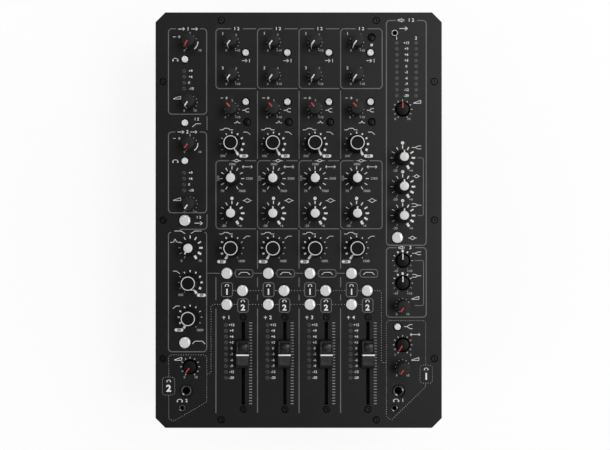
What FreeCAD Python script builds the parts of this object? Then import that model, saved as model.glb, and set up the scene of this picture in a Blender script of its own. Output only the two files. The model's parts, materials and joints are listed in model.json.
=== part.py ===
import FreeCAD, Part
import math
import os
from types import SimpleNamespace

import Sketcher
from FreeCAD import Placement, Rotation, Vector

# A four-channel desktop mixer. X runs to the right, Y to the rear and Z up.
# The origin is on the table, under the middle of the panel.
# Lengths are in millimetres and angles in degrees.
SIZES = {
    # Grid of the top panel, from its rear edge towards its front edge
    "panel_depth": 360.0,
    "rear_margin": 26.0,
    "aux_pitch": 29.0,
    "knob_pitch": 30.0,
    "filter_drop": 22.0,
    "cue_drop": 15.0,
    "cue_step": 12.0,
    "fader_drop": 51.0,
    # Grid of the top panel, across
    "channel_pitch": 36.0,
    "side_width": 52.0,
    "knob_offset": 14.2,
    "small_button_offset": 26.1,
    "left_button_offset": 9.8,
    "right_button_offset": 23.4,
    "fader_offset": 24.0,
    "pre_button_rise": 9.0,
    "line_button_rise": 6.4,
    # Left column: two returns, the master filter and a phones section
    "left_inset": 22.0,
    "side_button_shift": 4.5,
    "return_span": 52.0,
    "return_button_drop": 14.7,
    "low_cut_drop": 17.7,
    "insert_drop": 14.2,
    "phones_drop": 3.0,
    # Right column: master, booth and a phones section
    "right_inset": 18.1,
    "eq_drop": 42.0,
    "eq_pitch": 25.0,
    "eq_button_drop": 19.0,
    "booth_drop": 20.0,
    "booth_pitch": 19.5,
    "split_drop": 18.3,
    "source_rise": 19.0,
    "record_rise": 8.1,
    "record_shift": 6.9,
    # Top panel and chassis
    "panel_thick": 2.0,
    "corner_cut": 8.5,
    "panel_overhang": 1.5,
    "case_height": 78.0,
    "sheet_thick": 1.5,
    "flange_width": 9.0,
    "bay_depth": 8.0,
    "foot_height": 8.0,
    "foot_diameter": 20.0,
    "foot_taper": 2.0,
    "foot_inset": 24.0,
    # Knobs
    "dial_sweep": 300.0,
    "trim_rest": -42.0,
    "off_rest": -145.0,
    "knob_gap": 0.8,
    "shaft_diameter": 6.0,
    "shaft_clearance": 0.5,
    "pointer_width": 1.3,
    "pointer_depth": 0.5,
    "ring_skirt_diameter": 16.5,
    "ring_skirt_height": 1.6,
    "ring_neck_diameter": 14.0,
    "ring_neck_height": 4.0,
    "ring_top_diameter": 12.7,
    "ring_inner_diameter": 10.6,
    "ring_bevel": 0.7,
    "ring_height": 15.0,
    "cap_skirt_diameter": 13.0,
    "cap_skirt_height": 1.6,
    "cap_neck_diameter": 11.6,
    "cap_shoulder_height": 13.4,
    "cap_diameter": 7.6,
    "cap_height": 15.0,
    "tall_base_diameter": 11.4,
    "tall_top_diameter": 10.4,
    "tall_height": 13.0,
    "low_diameter": 10.2,
    "low_hole": 13.0,
    "low_rise": 2.5,
    "low_sink": 2.0,
    # Faders
    "fader_travel": 60.0,
    "fader_rest": 8.8,
    "fader_slot_width": 3.0,
    "fader_slot_end": 2.0,
    "fader_body_width": 15.0,
    "fader_body_end": 8.0,
    "fader_body_height": 11.0,
    "fader_floor": 2.0,
    "fader_gap": 1.0,
    "fader_cap_length": 24.0,
    "fader_cap_width": 11.2,
    "fader_cap_height": 9.0,
    "fader_lip_height": 4.5,
    "fader_ridge_width": 3.0,
    "fader_scoop_radius": 14.0,
    "fader_stem_width": 1.6,
    "fader_stem_length": 8.0,
    # Push buttons
    "small_button_diameter": 5.5,
    "small_button_height": 2.0,
    "small_button_gap": 1.05,
    "small_button_travel": 1.2,
    "large_button_diameter": 9.6,
    "large_button_height": 2.5,
    "large_button_gap": 0.7,
    "large_button_travel": 1.5,
    "button_tail": 2.0,
    "plunger_width": 3.0,
    "plunger_grip": 2.0,
    "plunger_clearance": 0.3,
    # Boards and what stands on them
    "board_drop": 14.0,
    "board_thick": 1.6,
    "board_margin": 4.0,
    "pot_width": 9.8,
    "pot_depth": 11.0,
    "pot_height": 7.0,
    "switch_width": 8.0,
    "switch_height": 7.0,
    # Sockets in the top panel
    "quarter_bore": 6.5,
    "quarter_bush": 9.4,
    "quarter_gap": 1.0,
    "quarter_body": 16.0,
    "quarter_depth": 30.0,
    "quarter_drop": 21.0,
    "quarter_shift": 3.5,
    "mini_bore": 3.6,
    "mini_bush": 6.0,
    "mini_gap": 0.4,
    "mini_body": 10.0,
    "mini_depth": 12.0,
    "mini_drop": 15.0,
    "mini_shift": 7.0,
    "bush_rise": 0.6,
    "jack_end": 2.0,
    # Sockets in the rear bay
    "phono_collar": 8.3,
    "phono_length": 8.5,
    "phono_flange": 12.0,
    "phono_flange_thick": 1.5,
    "phono_height": 26.0,
    "phono_pitch": 20.0,
    "output_width": 26.0,
    "output_tall": 31.0,
    "output_flange_thick": 1.6,
    "output_bore": 16.6,
    "output_wall": 2.2,
    "output_depth": 15.0,
    "output_pin": 2.4,
    "output_pin_circle": 8.6,
    "output_pin_length": 9.0,
    "output_height": 18.0,
    "output_pitch": 32.0,
    "mains_width": 24.6,
    "mains_tall": 16.8,
    "mains_wall": 1.6,
    "mains_flange": 4.0,
    "mains_flange_thick": 1.6,
    "mains_depth": 16.0,
    "mains_blade_width": 2.0,
    "mains_blade_tall": 4.0,
    "mains_blade_length": 10.0,
    "mains_blade_pitch": 7.0,
    "mains_blade_rise": 4.0,
    "mains_height": 26.0,
    "wall_clearance": 0.4,
    # Power supply on the chassis floor
    "supply_width": 60.0,
    "supply_length": 100.0,
    "supply_standoff": 6.0,
    "supply_post": 6.0,
    "supply_setback": 40.0,
    "transformer_diameter": 46.0,
    "transformer_height": 24.0,
}
CHANNELS = 4


class Size:
    """A length worked out from the sheet: its formula in the document and its value now."""

    def __init__(self, formula, value):
        self.formula = formula
        self.value = value

    def join(self, sign, other, value):
        text = other.formula if isinstance(other, Size) else repr(other)
        return Size(f"({self.formula} {sign} {text})", value)

    def __add__(self, other):
        return self.join("+", other, self.value + value_of(other))

    def __sub__(self, other):
        return self.join("-", other, self.value - value_of(other))

    def __mul__(self, other):
        return self.join("*", other, self.value * value_of(other))

    def __truediv__(self, other):
        return self.join("/", other, self.value / value_of(other))

    def __radd__(self, other):
        return self + other

    def __rsub__(self, other):
        return -self + other

    def __neg__(self):
        return self * -1


def value_of(length):
    return length.value if isinstance(length, Size) else length


doc = FreeCAD.newDocument("mixer")
sheet = doc.addObject("Spreadsheet::Sheet", "Sizes")
for row, (name, value) in enumerate(SIZES.items(), 1):
    sheet.set(f"A{row}", name)
    sheet.set(f"B{row}", str(value))
    sheet.setAlias(f"B{row}", name)
doc.recompute()
size = SimpleNamespace(**{name: Size(f"Sizes.{name}", value) for name, value in SIZES.items()})
parts = {}


# Sketches, features and placing
def new_body(name):
    body = doc.addObject("PartDesign::Body", name)
    body.Label = name
    return body


def new_sketch(body, name, role="XY_Plane", level=None):
    """A sketch on one of the body's own planes, raised to a level above it."""
    sketch = body.newObject("Sketcher::SketchObject", name)
    plane = next(item for item in body.Origin.OriginFeatures if item.Role == role)
    sketch.AttachmentSupport = [(plane, "")]
    sketch.MapMode = "FlatFace"
    if level is not None:
        sketch.setExpression("AttachmentOffset.Base.z", level.formula)
    return sketch


def tie(sketch, edge, end, x, y):
    """Holds one point of a sketch at a place; a plain 0 puts it on the axis."""
    for kind, axis, place in (("DistanceX", -2, x), ("DistanceY", -1, y)):
        if isinstance(place, Size):
            index = sketch.addConstraint(Sketcher.Constraint(kind, -1, 1, edge, end, place.value))
            sketch.setExpression(f"Constraints[{index}]", place.formula)
        else:
            sketch.addConstraint(Sketcher.Constraint("PointOnObject", edge, end, axis))


def spot(point):
    return Vector(value_of(point[0]), value_of(point[1]), 0)


def hollow_arc(start, finish, radius):
    """The short arc that runs counter-clockwise from start to finish."""
    chord = finish - start
    rise = math.sqrt(radius**2 - (chord.Length / 2) ** 2)
    centre = (start + finish) / 2 + Vector(-chord.y, chord.x, 0).normalize() * rise
    angles = [math.atan2(point.y - centre.y, point.x - centre.x) for point in (start, finish)]
    return Part.ArcOfCircle(Part.Circle(centre, Vector(0, 0, 1), radius), *angles)


def polygon(sketch, points, hollows={}):
    """A closed outline through the points. Edges named in hollows curve inward with that radius."""
    edges = []
    for index, point in enumerate(points):
        start, finish = spot(point), spot(points[(index + 1) % len(points)])
        if index in hollows:
            shape = hollow_arc(finish, start, hollows[index].value)
        else:
            shape = Part.LineSegment(start, finish)
        edges.append(sketch.addGeometry(shape))
    for index, point in enumerate(points):
        # A hollow runs against the outline, so its ends are the other way round.
        start = 2 if index in hollows else 1
        finish = 1 if index - 1 in hollows else 2
        sketch.addConstraint(
            Sketcher.Constraint("Coincident", edges[index - 1], finish, edges[index], start)
        )
        tie(sketch, edges[index], start, *point)
    for index, radius in hollows.items():
        rule = sketch.addConstraint(Sketcher.Constraint("Radius", edges[index], radius.value))
        sketch.setExpression(f"Constraints[{rule}]", radius.formula)


def circle(sketch, x, y, diameter):
    shape = Part.Circle(spot((x, y)), Vector(0, 0, 1), diameter.value / 2)
    edge = sketch.addGeometry(shape)
    index = sketch.addConstraint(Sketcher.Constraint("Diameter", edge, diameter.value))
    sketch.setExpression(f"Constraints[{index}]", diameter.formula)
    tie(sketch, edge, 3, x, y)


def rectangle(sketch, x, y, width, depth):
    """A rectangle about its middle."""
    left, right = x - width / 2, x + width / 2
    front, rear = y - depth / 2, y + depth / 2
    polygon(sketch, [(left, front), (right, front), (right, rear), (left, rear)])


def add(body, kind, sketch, length=None, reverse=False, symmetric=False):
    """A pad or a pocket of the sketch; with no length a pocket goes right through."""
    feature = body.newObject(f"PartDesign::{kind}", f"{sketch.Name}_{kind}")
    feature.Profile = sketch
    feature.Reversed = reverse
    feature.Midplane = symmetric
    if length is None:
        feature.Type = "ThroughAll"
    else:
        feature.setExpression("Length", length.formula)
    body.Tip = feature
    return feature


def revolve(body, points):
    """A turned piece: points are (radius, height) pairs, closed along the axis."""
    sketch = new_sketch(body, f"{body.Name}_profile", "XZ_Plane")
    polygon(sketch, points)
    feature = body.newObject("PartDesign::Revolution", f"{body.Name}_turned")
    feature.Profile = sketch
    feature.ReferenceAxis = (sketch, ["V_Axis"])
    body.Tip = feature


def put(item, x, y, z, turn=Rotation()):
    """Places an object at a point of the sheet's grid."""
    item.Placement = Placement(Vector(value_of(x), value_of(y), value_of(z)), turn)
    for axis, place in zip("xyz", (x, y, z)):
        if isinstance(place, Size):
            item.setExpression(f"Placement.Base.{axis}", place.formula)
    return item


def copy_of(master, x, y, z, turn=Rotation()):
    link = doc.addObject("App::Link", f"{master.Name}_copy")
    link.LinkedObject = master
    return put(link, x, y, z, turn)


def group(name, items):
    """A sub-part of one or more separate solids."""
    node = doc.addObject("Part::Compound", name)
    node.Label = name
    node.Links = items
    parts[name] = node
    return node


def box(name, width, depth, height, x, y, z):
    """A block about its middle in plan, standing on z."""
    block = doc.addObject("Part::Box", name)
    for side, length in (("Length", width), ("Width", depth), ("Height", height)):
        block.setExpression(side, length.formula)
    return put(block, x - width / 2, y - depth / 2, z)


# Places of the controls
panel_width = size.channel_pitch * CHANNELS + size.side_width * 2
aux_1_row = size.panel_depth / 2 - size.rear_margin
aux_2_row = aux_1_row - size.aux_pitch
trim_row = aux_2_row - size.aux_pitch
low_pass_row = trim_row - size.knob_pitch
sweep_row = low_pass_row - size.knob_pitch
boost_row = sweep_row - size.knob_pitch
high_pass_row = boost_row - size.knob_pitch
filter_row = high_pass_row - size.filter_drop
cue_a_row = filter_row - size.cue_drop
cue_b_row = cue_a_row - size.cue_step
fader_row = cue_b_row - size.fader_drop
phones_row = fader_row - size.phones_drop
quarter_row = phones_row - size.quarter_drop
mini_row = quarter_row - size.mini_drop

left_x = -(size.channel_pitch * (CHANNELS / 2) + size.left_inset)
right_x = size.channel_pitch * (CHANNELS / 2) + size.right_inset
return_1_level_row = aux_1_row - size.return_span
return_2_level_row = low_pass_row - size.return_span
master_low_row = high_pass_row - size.knob_pitch
master_high_row = master_low_row - size.knob_pitch
eq_high_row = trim_row - size.eq_drop
eq_mid_row = eq_high_row - size.eq_pitch
eq_low_row = eq_mid_row - size.eq_pitch
eq_button_row = eq_low_row - size.eq_button_drop
booth_high_row = eq_button_row - size.booth_drop
booth_low_row = booth_high_row - size.booth_pitch
booth_level_row = booth_low_row - size.booth_pitch
split_row = booth_level_row - size.split_drop
source_row = phones_row + size.source_rise
record_row = aux_1_row + size.record_rise

LOW, MIDDLE, HIGH = -SIZES["dial_sweep"] / 2, 0, SIZES["dial_sweep"] / 2
TRIM, OFF = SIZES["trim_rest"], SIZES["off_rest"]
CHANNEL_KNOBS = (
    ("aux_1", "tall", aux_1_row, OFF),
    ("aux_2", "tall", aux_2_row, OFF),
    ("trim", "tall", trim_row, TRIM),
    ("low_pass", "ring", low_pass_row, HIGH),
    ("sweep", "cap", sweep_row, MIDDLE),
    ("boost", "cap", boost_row, MIDDLE),
    ("high_pass", "ring", high_pass_row, LOW),
)
LEFT_KNOBS = (
    ("return_1_trim", "tall", aux_1_row, OFF),
    ("return_1_level", "tall", return_1_level_row, OFF),
    ("return_2_trim", "tall", low_pass_row, OFF),
    ("return_2_level", "tall", return_2_level_row, OFF),
    ("master_resonance", "cap", high_pass_row, LOW),
    ("master_low_pass", "ring", master_low_row, HIGH),
    ("master_high_pass", "ring", master_high_row, LOW),
    ("cue_b_level", "low", phones_row, OFF),
)
RIGHT_KNOBS = (
    ("master_level", "low", trim_row, MIDDLE),
    ("eq_high", "cap", eq_high_row, MIDDLE),
    ("eq_mid", "cap", eq_mid_row, MIDDLE),
    ("eq_low", "cap", eq_low_row, MIDDLE),
    ("booth_high", "low", booth_high_row, MIDDLE),
    ("booth_low", "low", booth_low_row, MIDDLE),
    ("booth_level", "tall", booth_level_row, OFF),
    ("cue_a_source", "low", source_row, OFF),
    ("cue_a_level", "tall", phones_row, OFF),
)


def channel_x(channel, offset):
    """A place across the panel, from the left edge of a channel strip."""
    return size.channel_pitch * (channel - CHANNELS / 2) + offset


def all_knobs():
    """Name, kind, place and rest angle of every knob, clockwise from the rear."""
    knobs = [(name, kind, left_x, y, rest) for name, kind, y, rest in LEFT_KNOBS]
    for channel in range(CHANNELS):
        x = channel_x(channel, size.knob_offset)
        for name, kind, y, rest in CHANNEL_KNOBS:
            knobs.append((f"channel_{channel + 1}_{name}", kind, x, y, rest))
    knobs += [(name, kind, right_x, y, rest) for name, kind, y, rest in RIGHT_KNOBS]
    return knobs


def small_places(channel):
    x = channel_x(channel, size.small_button_offset)
    return [(x, aux_1_row - size.pre_button_rise), (x, trim_row + size.line_button_rise)]


def large_places(channel):
    left = channel_x(channel, size.left_button_offset)
    right = channel_x(channel, size.right_button_offset)
    return [(left, filter_row), (right, cue_a_row), (left, cue_b_row)]


left_button_x = left_x - size.side_button_shift
right_button_x = right_x - size.side_button_shift
LEFT_SMALL = [
    (left_button_x, aux_1_row - size.return_button_drop),
    (left_button_x, return_1_level_row - size.low_cut_drop),
    (left_button_x, low_pass_row - size.return_button_drop),
]
RIGHT_SMALL = [(right_button_x, split_row)]
LEFT_LARGE = [
    (left_button_x, return_2_level_row - size.insert_drop),
    (left_button_x, master_high_row - size.filter_drop),
]
RIGHT_LARGE = [(right_button_x, eq_button_row)]
QUARTER_JACKS = [(x - size.quarter_shift, quarter_row) for x in (left_x, right_x)]
LEFT_MINI = [(left_x - size.mini_shift, mini_row)]
RIGHT_MINI = [(right_x - size.mini_shift, mini_row), (right_x - size.record_shift, record_row)]

# Levels above the table
chassis_base = size.foot_height
panel_base = chassis_base + size.case_height
panel_top = panel_base + size.panel_thick
board_top = panel_base - size.board_drop
pot_top = board_top + size.pot_height

# Widths of the holes
shaft_hole = size.shaft_diameter + size.shaft_clearance * 2
small_hole = size.small_button_diameter + size.small_button_gap * 2
large_hole = size.large_button_diameter + size.large_button_gap * 2
quarter_hole = size.quarter_bush + size.quarter_gap * 2
mini_hole = size.mini_bush + size.mini_gap * 2
output_body = size.output_bore + size.output_wall * 2
plunger_hole = size.plunger_width + size.plunger_clearance * 2

# Lengths of the fader's slot and of the track under it
fader_slot = size.fader_travel + size.fader_stem_length + size.fader_slot_end * 2
fader_body = fader_slot + size.fader_body_end * 2


def cut_corner_outline(half_width, front, rear, cut):
    """A rectangle with its four corners cut at 45 degrees."""
    return [
        (-half_width + cut, front), (half_width - cut, front),
        (half_width, front + cut), (half_width, rear - cut),
        (half_width - cut, rear), (-half_width + cut, rear),
        (-half_width, rear - cut), (-half_width, front + cut),
    ]


def top_panel():
    """The plate that carries every control, with the holes that they pass through."""
    body = new_body("top_panel")
    outline = new_sketch(body, "panel_outline")
    half_depth = size.panel_depth / 2
    polygon(outline, cut_corner_outline(panel_width / 2, -half_depth, half_depth, size.corner_cut))
    add(body, "Pad", outline, size.panel_thick)

    strip = new_sketch(body, "channel_holes")
    for name, kind, y, rest in CHANNEL_KNOBS:
        circle(strip, channel_x(0, size.knob_offset), y, shaft_hole)
    for x, y in small_places(0):
        circle(strip, x, y, small_hole)
    for x, y in large_places(0):
        circle(strip, x, y, large_hole)
    fader_x = channel_x(0, size.fader_offset)
    rectangle(strip, fader_x, fader_row, size.fader_slot_width, fader_slot)
    strip_cut = add(body, "Pocket", strip, reverse=True)

    pattern = body.newObject("PartDesign::LinearPattern", "channel_pattern")
    pattern.Originals = [strip_cut]
    pattern.Direction = (strip, ["H_Axis"])
    pattern.setExpression("Length", (size.channel_pitch * (CHANNELS - 1)).formula)
    pattern.Occurrences = CHANNELS
    body.Tip = pattern

    columns = (
        ("left", left_x, LEFT_KNOBS, LEFT_SMALL, LEFT_LARGE, QUARTER_JACKS[:1], LEFT_MINI),
        ("right", right_x, RIGHT_KNOBS, RIGHT_SMALL, RIGHT_LARGE, QUARTER_JACKS[1:], RIGHT_MINI),
    )
    for side, column_x, knobs, small, large, quarters, minis in columns:
        holes = new_sketch(body, f"{side}_holes")
        for name, kind, y, rest in knobs:
            circle(holes, column_x, y, size.low_hole if kind == "low" else shaft_hole)
        for places, width in ((small, small_hole), (large, large_hole)):
            for x, y in places:
                circle(holes, x, y, width)
        for places, width in ((quarters, quarter_hole), (minis, mini_hole)):
            for x, y in places:
                circle(holes, x, y, width)
        add(body, "Pocket", holes, reverse=True)
    put(body, 0, 0, panel_base)
    parts["top_panel"] = body


def rear_places():
    """Where the rear sockets sit, across the wall and above the chassis base."""
    phonos = [
        (channel_x(channel, size.channel_pitch / 2), size.phono_height + size.phono_pitch * level)
        for channel in range(CHANNELS) for level in range(2)
    ]
    outputs = [(right_x, size.output_height + size.output_pitch * level) for level in range(2)]
    return phonos, outputs, (left_x, size.mains_height)


chassis_half = panel_width / 2 - size.panel_overhang
chassis_front = -(size.panel_depth / 2 - size.panel_overhang)
chassis_rear = size.panel_depth / 2 - size.panel_overhang
rear_wall = chassis_rear - size.bay_depth


def chassis():
    """The folded steel tub: a floor, walls, a flange under the panel and a rear bay for the sockets."""
    body = new_body("chassis")
    cut = size.corner_cut
    wall = size.sheet_thick
    # A wall of even thickness round a 45 degree corner is set in by this much along the sides.
    inner_cut = cut - wall * (2 - math.sqrt(2))

    floor = new_sketch(body, "floor_outline")
    polygon(floor, cut_corner_outline(chassis_half, chassis_front, chassis_rear, cut))
    add(body, "Pad", floor, wall)

    walls = new_sketch(body, "wall_outline")
    polygon(walls, cut_corner_outline(chassis_half, chassis_front, chassis_rear, cut))
    inside = chassis_half - wall
    inner_front = chassis_front + wall
    inner_rear = rear_wall - wall
    polygon(walls, [
        (-inside + inner_cut, inner_front), (inside - inner_cut, inner_front),
        (inside, inner_front + inner_cut), (inside, inner_rear),
        (-inside, inner_rear), (-inside, inner_front + inner_cut),
    ])
    add(body, "Pad", walls, size.case_height)

    flange = new_sketch(body, "flange_outline", level=size.case_height - wall)
    polygon(flange, cut_corner_outline(chassis_half, chassis_front, chassis_rear, cut))
    flange_width = (chassis_half - size.flange_width) * 2
    rectangle(flange, 0, 0, flange_width, (chassis_rear - size.flange_width) * 2)
    add(body, "Pad", flange, wall)

    bay = new_sketch(body, "bay_outline", level=wall)
    bay_half = chassis_half - cut
    polygon(bay, [
        (-bay_half, rear_wall), (bay_half, rear_wall),
        (bay_half, size.panel_depth), (-bay_half, size.panel_depth),
    ])
    add(body, "Pocket", bay, size.case_height - wall * 2, reverse=True)

    openings = new_sketch(body, "socket_openings", "XZ_Plane")
    phonos, outputs, mains = rear_places()
    for x, z in outputs:
        circle(openings, x, z, output_body + size.wall_clearance * 2)
    mains_width = size.mains_width + (size.mains_wall + size.wall_clearance) * 2
    mains_tall = size.mains_tall + (size.mains_wall + size.wall_clearance) * 2
    rectangle(openings, *mains, mains_width, mains_tall)
    add(body, "Pocket", openings, rear_wall + size.wall_clearance)
    put(body, 0, 0, chassis_base)
    parts["chassis"] = body


def rubber_feet():
    foot = new_body("foot")
    top, bottom = size.foot_diameter / 2, size.foot_diameter / 2 - size.foot_taper
    revolve(foot, [(0, 0), (bottom, 0), (top, size.foot_height), (0, size.foot_height)])
    x = chassis_half - size.foot_inset
    y = chassis_rear - size.foot_inset
    corners = [(across, along) for across in (-1, 1) for along in (-1, 1)]
    group("rubber_feet", [copy_of(foot, x * across, y * along, 0) for across, along in corners])


def knob_masters():
    """One knob of each kind, standing on its own underside with its pointer to the rear."""
    masters = {kind: new_body(f"{kind}_knob") for kind in ("ring", "cap", "tall", "low")}
    shaft = size.shaft_diameter / 2
    shaft_end = -(panel_top + size.knob_gap - pot_top)
    hub = [(0, shaft_end), (shaft, shaft_end), (shaft, 0)]

    skirt = size.ring_skirt_diameter / 2
    revolve(masters["ring"], hub + [
        (skirt, 0), (skirt, size.ring_skirt_height),
        (size.ring_neck_diameter / 2, size.ring_neck_height),
        (size.ring_top_diameter / 2, size.ring_height - size.ring_bevel),
        (size.ring_inner_diameter / 2, size.ring_height), (0, size.ring_height),
    ])
    fin = new_sketch(masters["ring"], "ring_pointer")
    half = size.pointer_width / 2
    reach = skirt - size.pointer_depth / 2
    polygon(fin, [(-half, shaft), (half, shaft), (half, reach), (-half, reach)])
    add(masters["ring"], "Pad", fin, size.ring_neck_height + size.pointer_depth)

    skirt = size.cap_skirt_diameter / 2
    cap = size.cap_diameter / 2
    shoulder = size.cap_neck_diameter / 2
    revolve(masters["cap"], hub + [
        (skirt, 0), (skirt, size.cap_skirt_height), (shoulder, size.cap_shoulder_height),
        (cap, size.cap_shoulder_height), (cap, size.cap_height), (0, size.cap_height),
    ])
    nib = new_sketch(masters["cap"], "cap_pointer", level=size.cap_shoulder_height - size.pointer_depth)
    reach = shoulder - size.pointer_depth / 2
    polygon(nib, [(-half, shaft), (half, shaft), (half, reach), (-half, reach)])
    add(masters["cap"], "Pad", nib, size.cap_height - size.cap_shoulder_height + size.pointer_depth / 2)

    revolve(masters["tall"], hub + [
        (size.tall_base_diameter / 2, 0), (size.tall_top_diameter / 2, size.tall_height),
        (0, size.tall_height),
    ])
    # A low knob stands in a wide hole, almost level with the panel.
    side = size.low_diameter / 2
    low_top = size.low_rise - size.knob_gap
    low_base = -(size.knob_gap + size.panel_thick + size.low_sink)
    revolve(masters["low"], [
        (0, shaft_end), (shaft, shaft_end), (shaft, low_base),
        (side, low_base), (side, low_top), (0, low_top),
    ])
    for kind, radius, height in (
        ("tall", size.tall_top_diameter / 2, size.tall_height), ("low", side, low_top),
    ):
        groove = new_sketch(masters[kind], f"{kind}_pointer", level=height)
        reach = radius + size.pointer_width
        polygon(groove, [(-half, 0), (half, 0), (half, reach), (-half, reach)])
        add(masters[kind], "Pocket", groove, size.pointer_depth)
    return masters


def knobs():
    masters = knob_masters()
    for name, kind, x, y, rest in all_knobs():
        turn = Rotation(Vector(0, 0, 1), -rest)
        put(group(f"{name}_knob", [masters[kind]]), x, y, panel_top + size.knob_gap, turn)


def fader_caps():
    """Long caps with a finger scoop on each side of a raised ridge, on a flat stem."""
    cap = new_body("fader_cap")
    profile = new_sketch(cap, "cap_profile", "YZ_Plane")
    end = size.fader_cap_length / 2
    ridge = size.fader_ridge_width / 2
    lip, top = size.fader_lip_height, size.fader_cap_height
    points = [(-end, 0), (end, 0), (end, lip), (ridge, top), (-ridge, top), (-end, lip)]
    scoop = size.fader_scoop_radius
    polygon(profile, points, {2: scoop, 4: scoop})
    add(cap, "Pad", profile, size.fader_cap_width, symmetric=True)

    stem = new_sketch(cap, "stem_outline")
    rectangle(stem, 0, 0, size.fader_stem_width, size.fader_stem_length)
    reach = size.fader_gap + size.panel_thick + size.fader_body_height - size.fader_floor * 2
    add(cap, "Pad", stem, reach, reverse=True)
    for channel in range(CHANNELS):
        node = group(f"channel_{channel + 1}_fader_cap", [cap])
        x = channel_x(channel, size.fader_offset)
        put(node, x, fader_row + size.fader_rest, panel_top + size.fader_gap)


def fader_bodies():
    """The slide tracks under the panel, each with the slot that its stem runs in."""
    track = new_body("fader_track")
    outline = new_sketch(track, "track_outline")
    rectangle(outline, 0, 0, size.fader_body_width, fader_body)
    add(track, "Pad", outline, size.fader_body_height, reverse=True)
    slot = new_sketch(track, "track_slot")
    rectangle(slot, 0, 0, size.fader_slot_width, fader_slot)
    add(track, "Pocket", slot, size.fader_body_height - size.fader_floor)
    group("fader_bodies", [
        copy_of(track, channel_x(channel, size.fader_offset), fader_row, panel_base)
        for channel in range(CHANNELS)
    ])


def buttons(name, places, diameter, height):
    """Round push buttons, each on a square plunger that slides in its switch."""
    button = new_body(f"{name}_master")
    face = new_sketch(button, f"{name}_face", level=height)
    circle(face, 0, 0, diameter)
    add(button, "Pad", face, height + size.panel_thick + size.button_tail, reverse=True)
    plunger = new_sketch(button, f"{name}_plunger", level=-(size.panel_thick + size.button_tail))
    rectangle(plunger, 0, 0, size.plunger_width, size.plunger_width)
    reach = size.board_drop - size.button_tail - size.switch_height + size.plunger_grip
    add(button, "Pad", plunger, reach, reverse=True)
    group(name, [copy_of(button, x, y, panel_top) for x, y in places])


def all_small():
    places = LEFT_SMALL + RIGHT_SMALL
    for channel in range(CHANNELS):
        places = places + small_places(channel)
    return places


def all_large():
    places = LEFT_LARGE + RIGHT_LARGE
    for channel in range(CHANNELS):
        places = places + large_places(channel)
    return places


def switch_master(name, travel):
    """A switch with a square socket, deep enough for its button's plunger when pressed."""
    switch = new_body(name)
    outline = new_sketch(switch, f"{name}_outline")
    rectangle(outline, 0, 0, size.switch_width, size.switch_width)
    add(switch, "Pad", outline, size.switch_height)
    socket = new_sketch(switch, f"{name}_socket", level=size.switch_height)
    rectangle(socket, 0, 0, plunger_hole, plunger_hole)
    add(switch, "Pocket", socket, size.plunger_grip + travel + size.plunger_clearance)
    return switch


def control_bodies():
    """Potentiometers and switches, standing on the boards under their knobs and buttons."""
    pot = doc.addObject("Part::Box", "potentiometer")
    pot.setExpression("Length", size.pot_width.formula)
    pot.setExpression("Width", size.pot_depth.formula)
    pot.setExpression("Height", size.pot_height.formula)
    items = [
        copy_of(pot, x - size.pot_width / 2, y - size.pot_depth / 2, board_top)
        for name, kind, x, y, rest in all_knobs()
    ]
    for name, places, travel in (
        ("small", all_small(), size.small_button_travel),
        ("large", all_large(), size.large_button_travel),
    ):
        switch = switch_master(f"{name}_switch", travel)
        items += [copy_of(switch, x, y, board_top) for x, y in places]
    group("control_bodies", items)


def circuit_boards():
    """One board under the channels and one under each side column, clear of the sockets."""
    margin = size.board_margin
    inner = size.channel_pitch * (CHANNELS / 2)
    base = board_top - size.board_thick
    rear = aux_1_row + size.pot_depth / 2
    front = fader_row - fader_body / 2
    side_front = phones_row - size.pot_depth / 2
    side_width = size.side_width - size.panel_overhang - size.sheet_thick - margin * 2
    side_x = inner + margin + side_width / 2
    side_y = (rear + side_front) / 2
    side_depth = rear - side_front
    group("circuit_boards", [
        box("channel_board", inner * 2, rear - front, size.board_thick, 0, (rear + front) / 2, base),
        box("left_board", side_width, side_depth, size.board_thick, -side_x, side_y, base),
        box("right_board", side_width, side_depth, size.board_thick, side_x, side_y, base),
    ])


def jack_master(name, bore, bush, body_width, depth):
    """A socket that seats against the panel's underside, with its bush through the panel."""
    jack = new_body(name)
    rim = size.panel_thick + size.bush_rise
    inner, outer, case = bore / 2, bush / 2, body_width / 2
    revolve(jack, [
        (0, -depth), (case, -depth), (case, 0), (outer, 0), (outer, rim),
        (inner, rim), (inner, size.jack_end - depth), (0, size.jack_end - depth),
    ])
    return jack


def headphone_jacks():
    quarter = jack_master(
        "quarter_jack", size.quarter_bore, size.quarter_bush, size.quarter_body, size.quarter_depth)
    mini = jack_master("mini_jack", size.mini_bore, size.mini_bush, size.mini_body, size.mini_depth)
    items = [copy_of(quarter, x, y, panel_base) for x, y in QUARTER_JACKS]
    items += [copy_of(mini, x, y, panel_base) for x, y in LEFT_MINI + RIGHT_MINI]
    group("headphone_jacks", items)


def phono_master():
    phono = new_body("phono_socket")
    collar, flange = size.phono_collar / 2, size.phono_flange / 2
    thick = size.phono_flange_thick
    revolve(phono, [
        (0, 0), (flange, 0), (flange, thick), (collar, thick),
        (collar, size.phono_length), (0, size.phono_length),
    ])
    return phono


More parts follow.
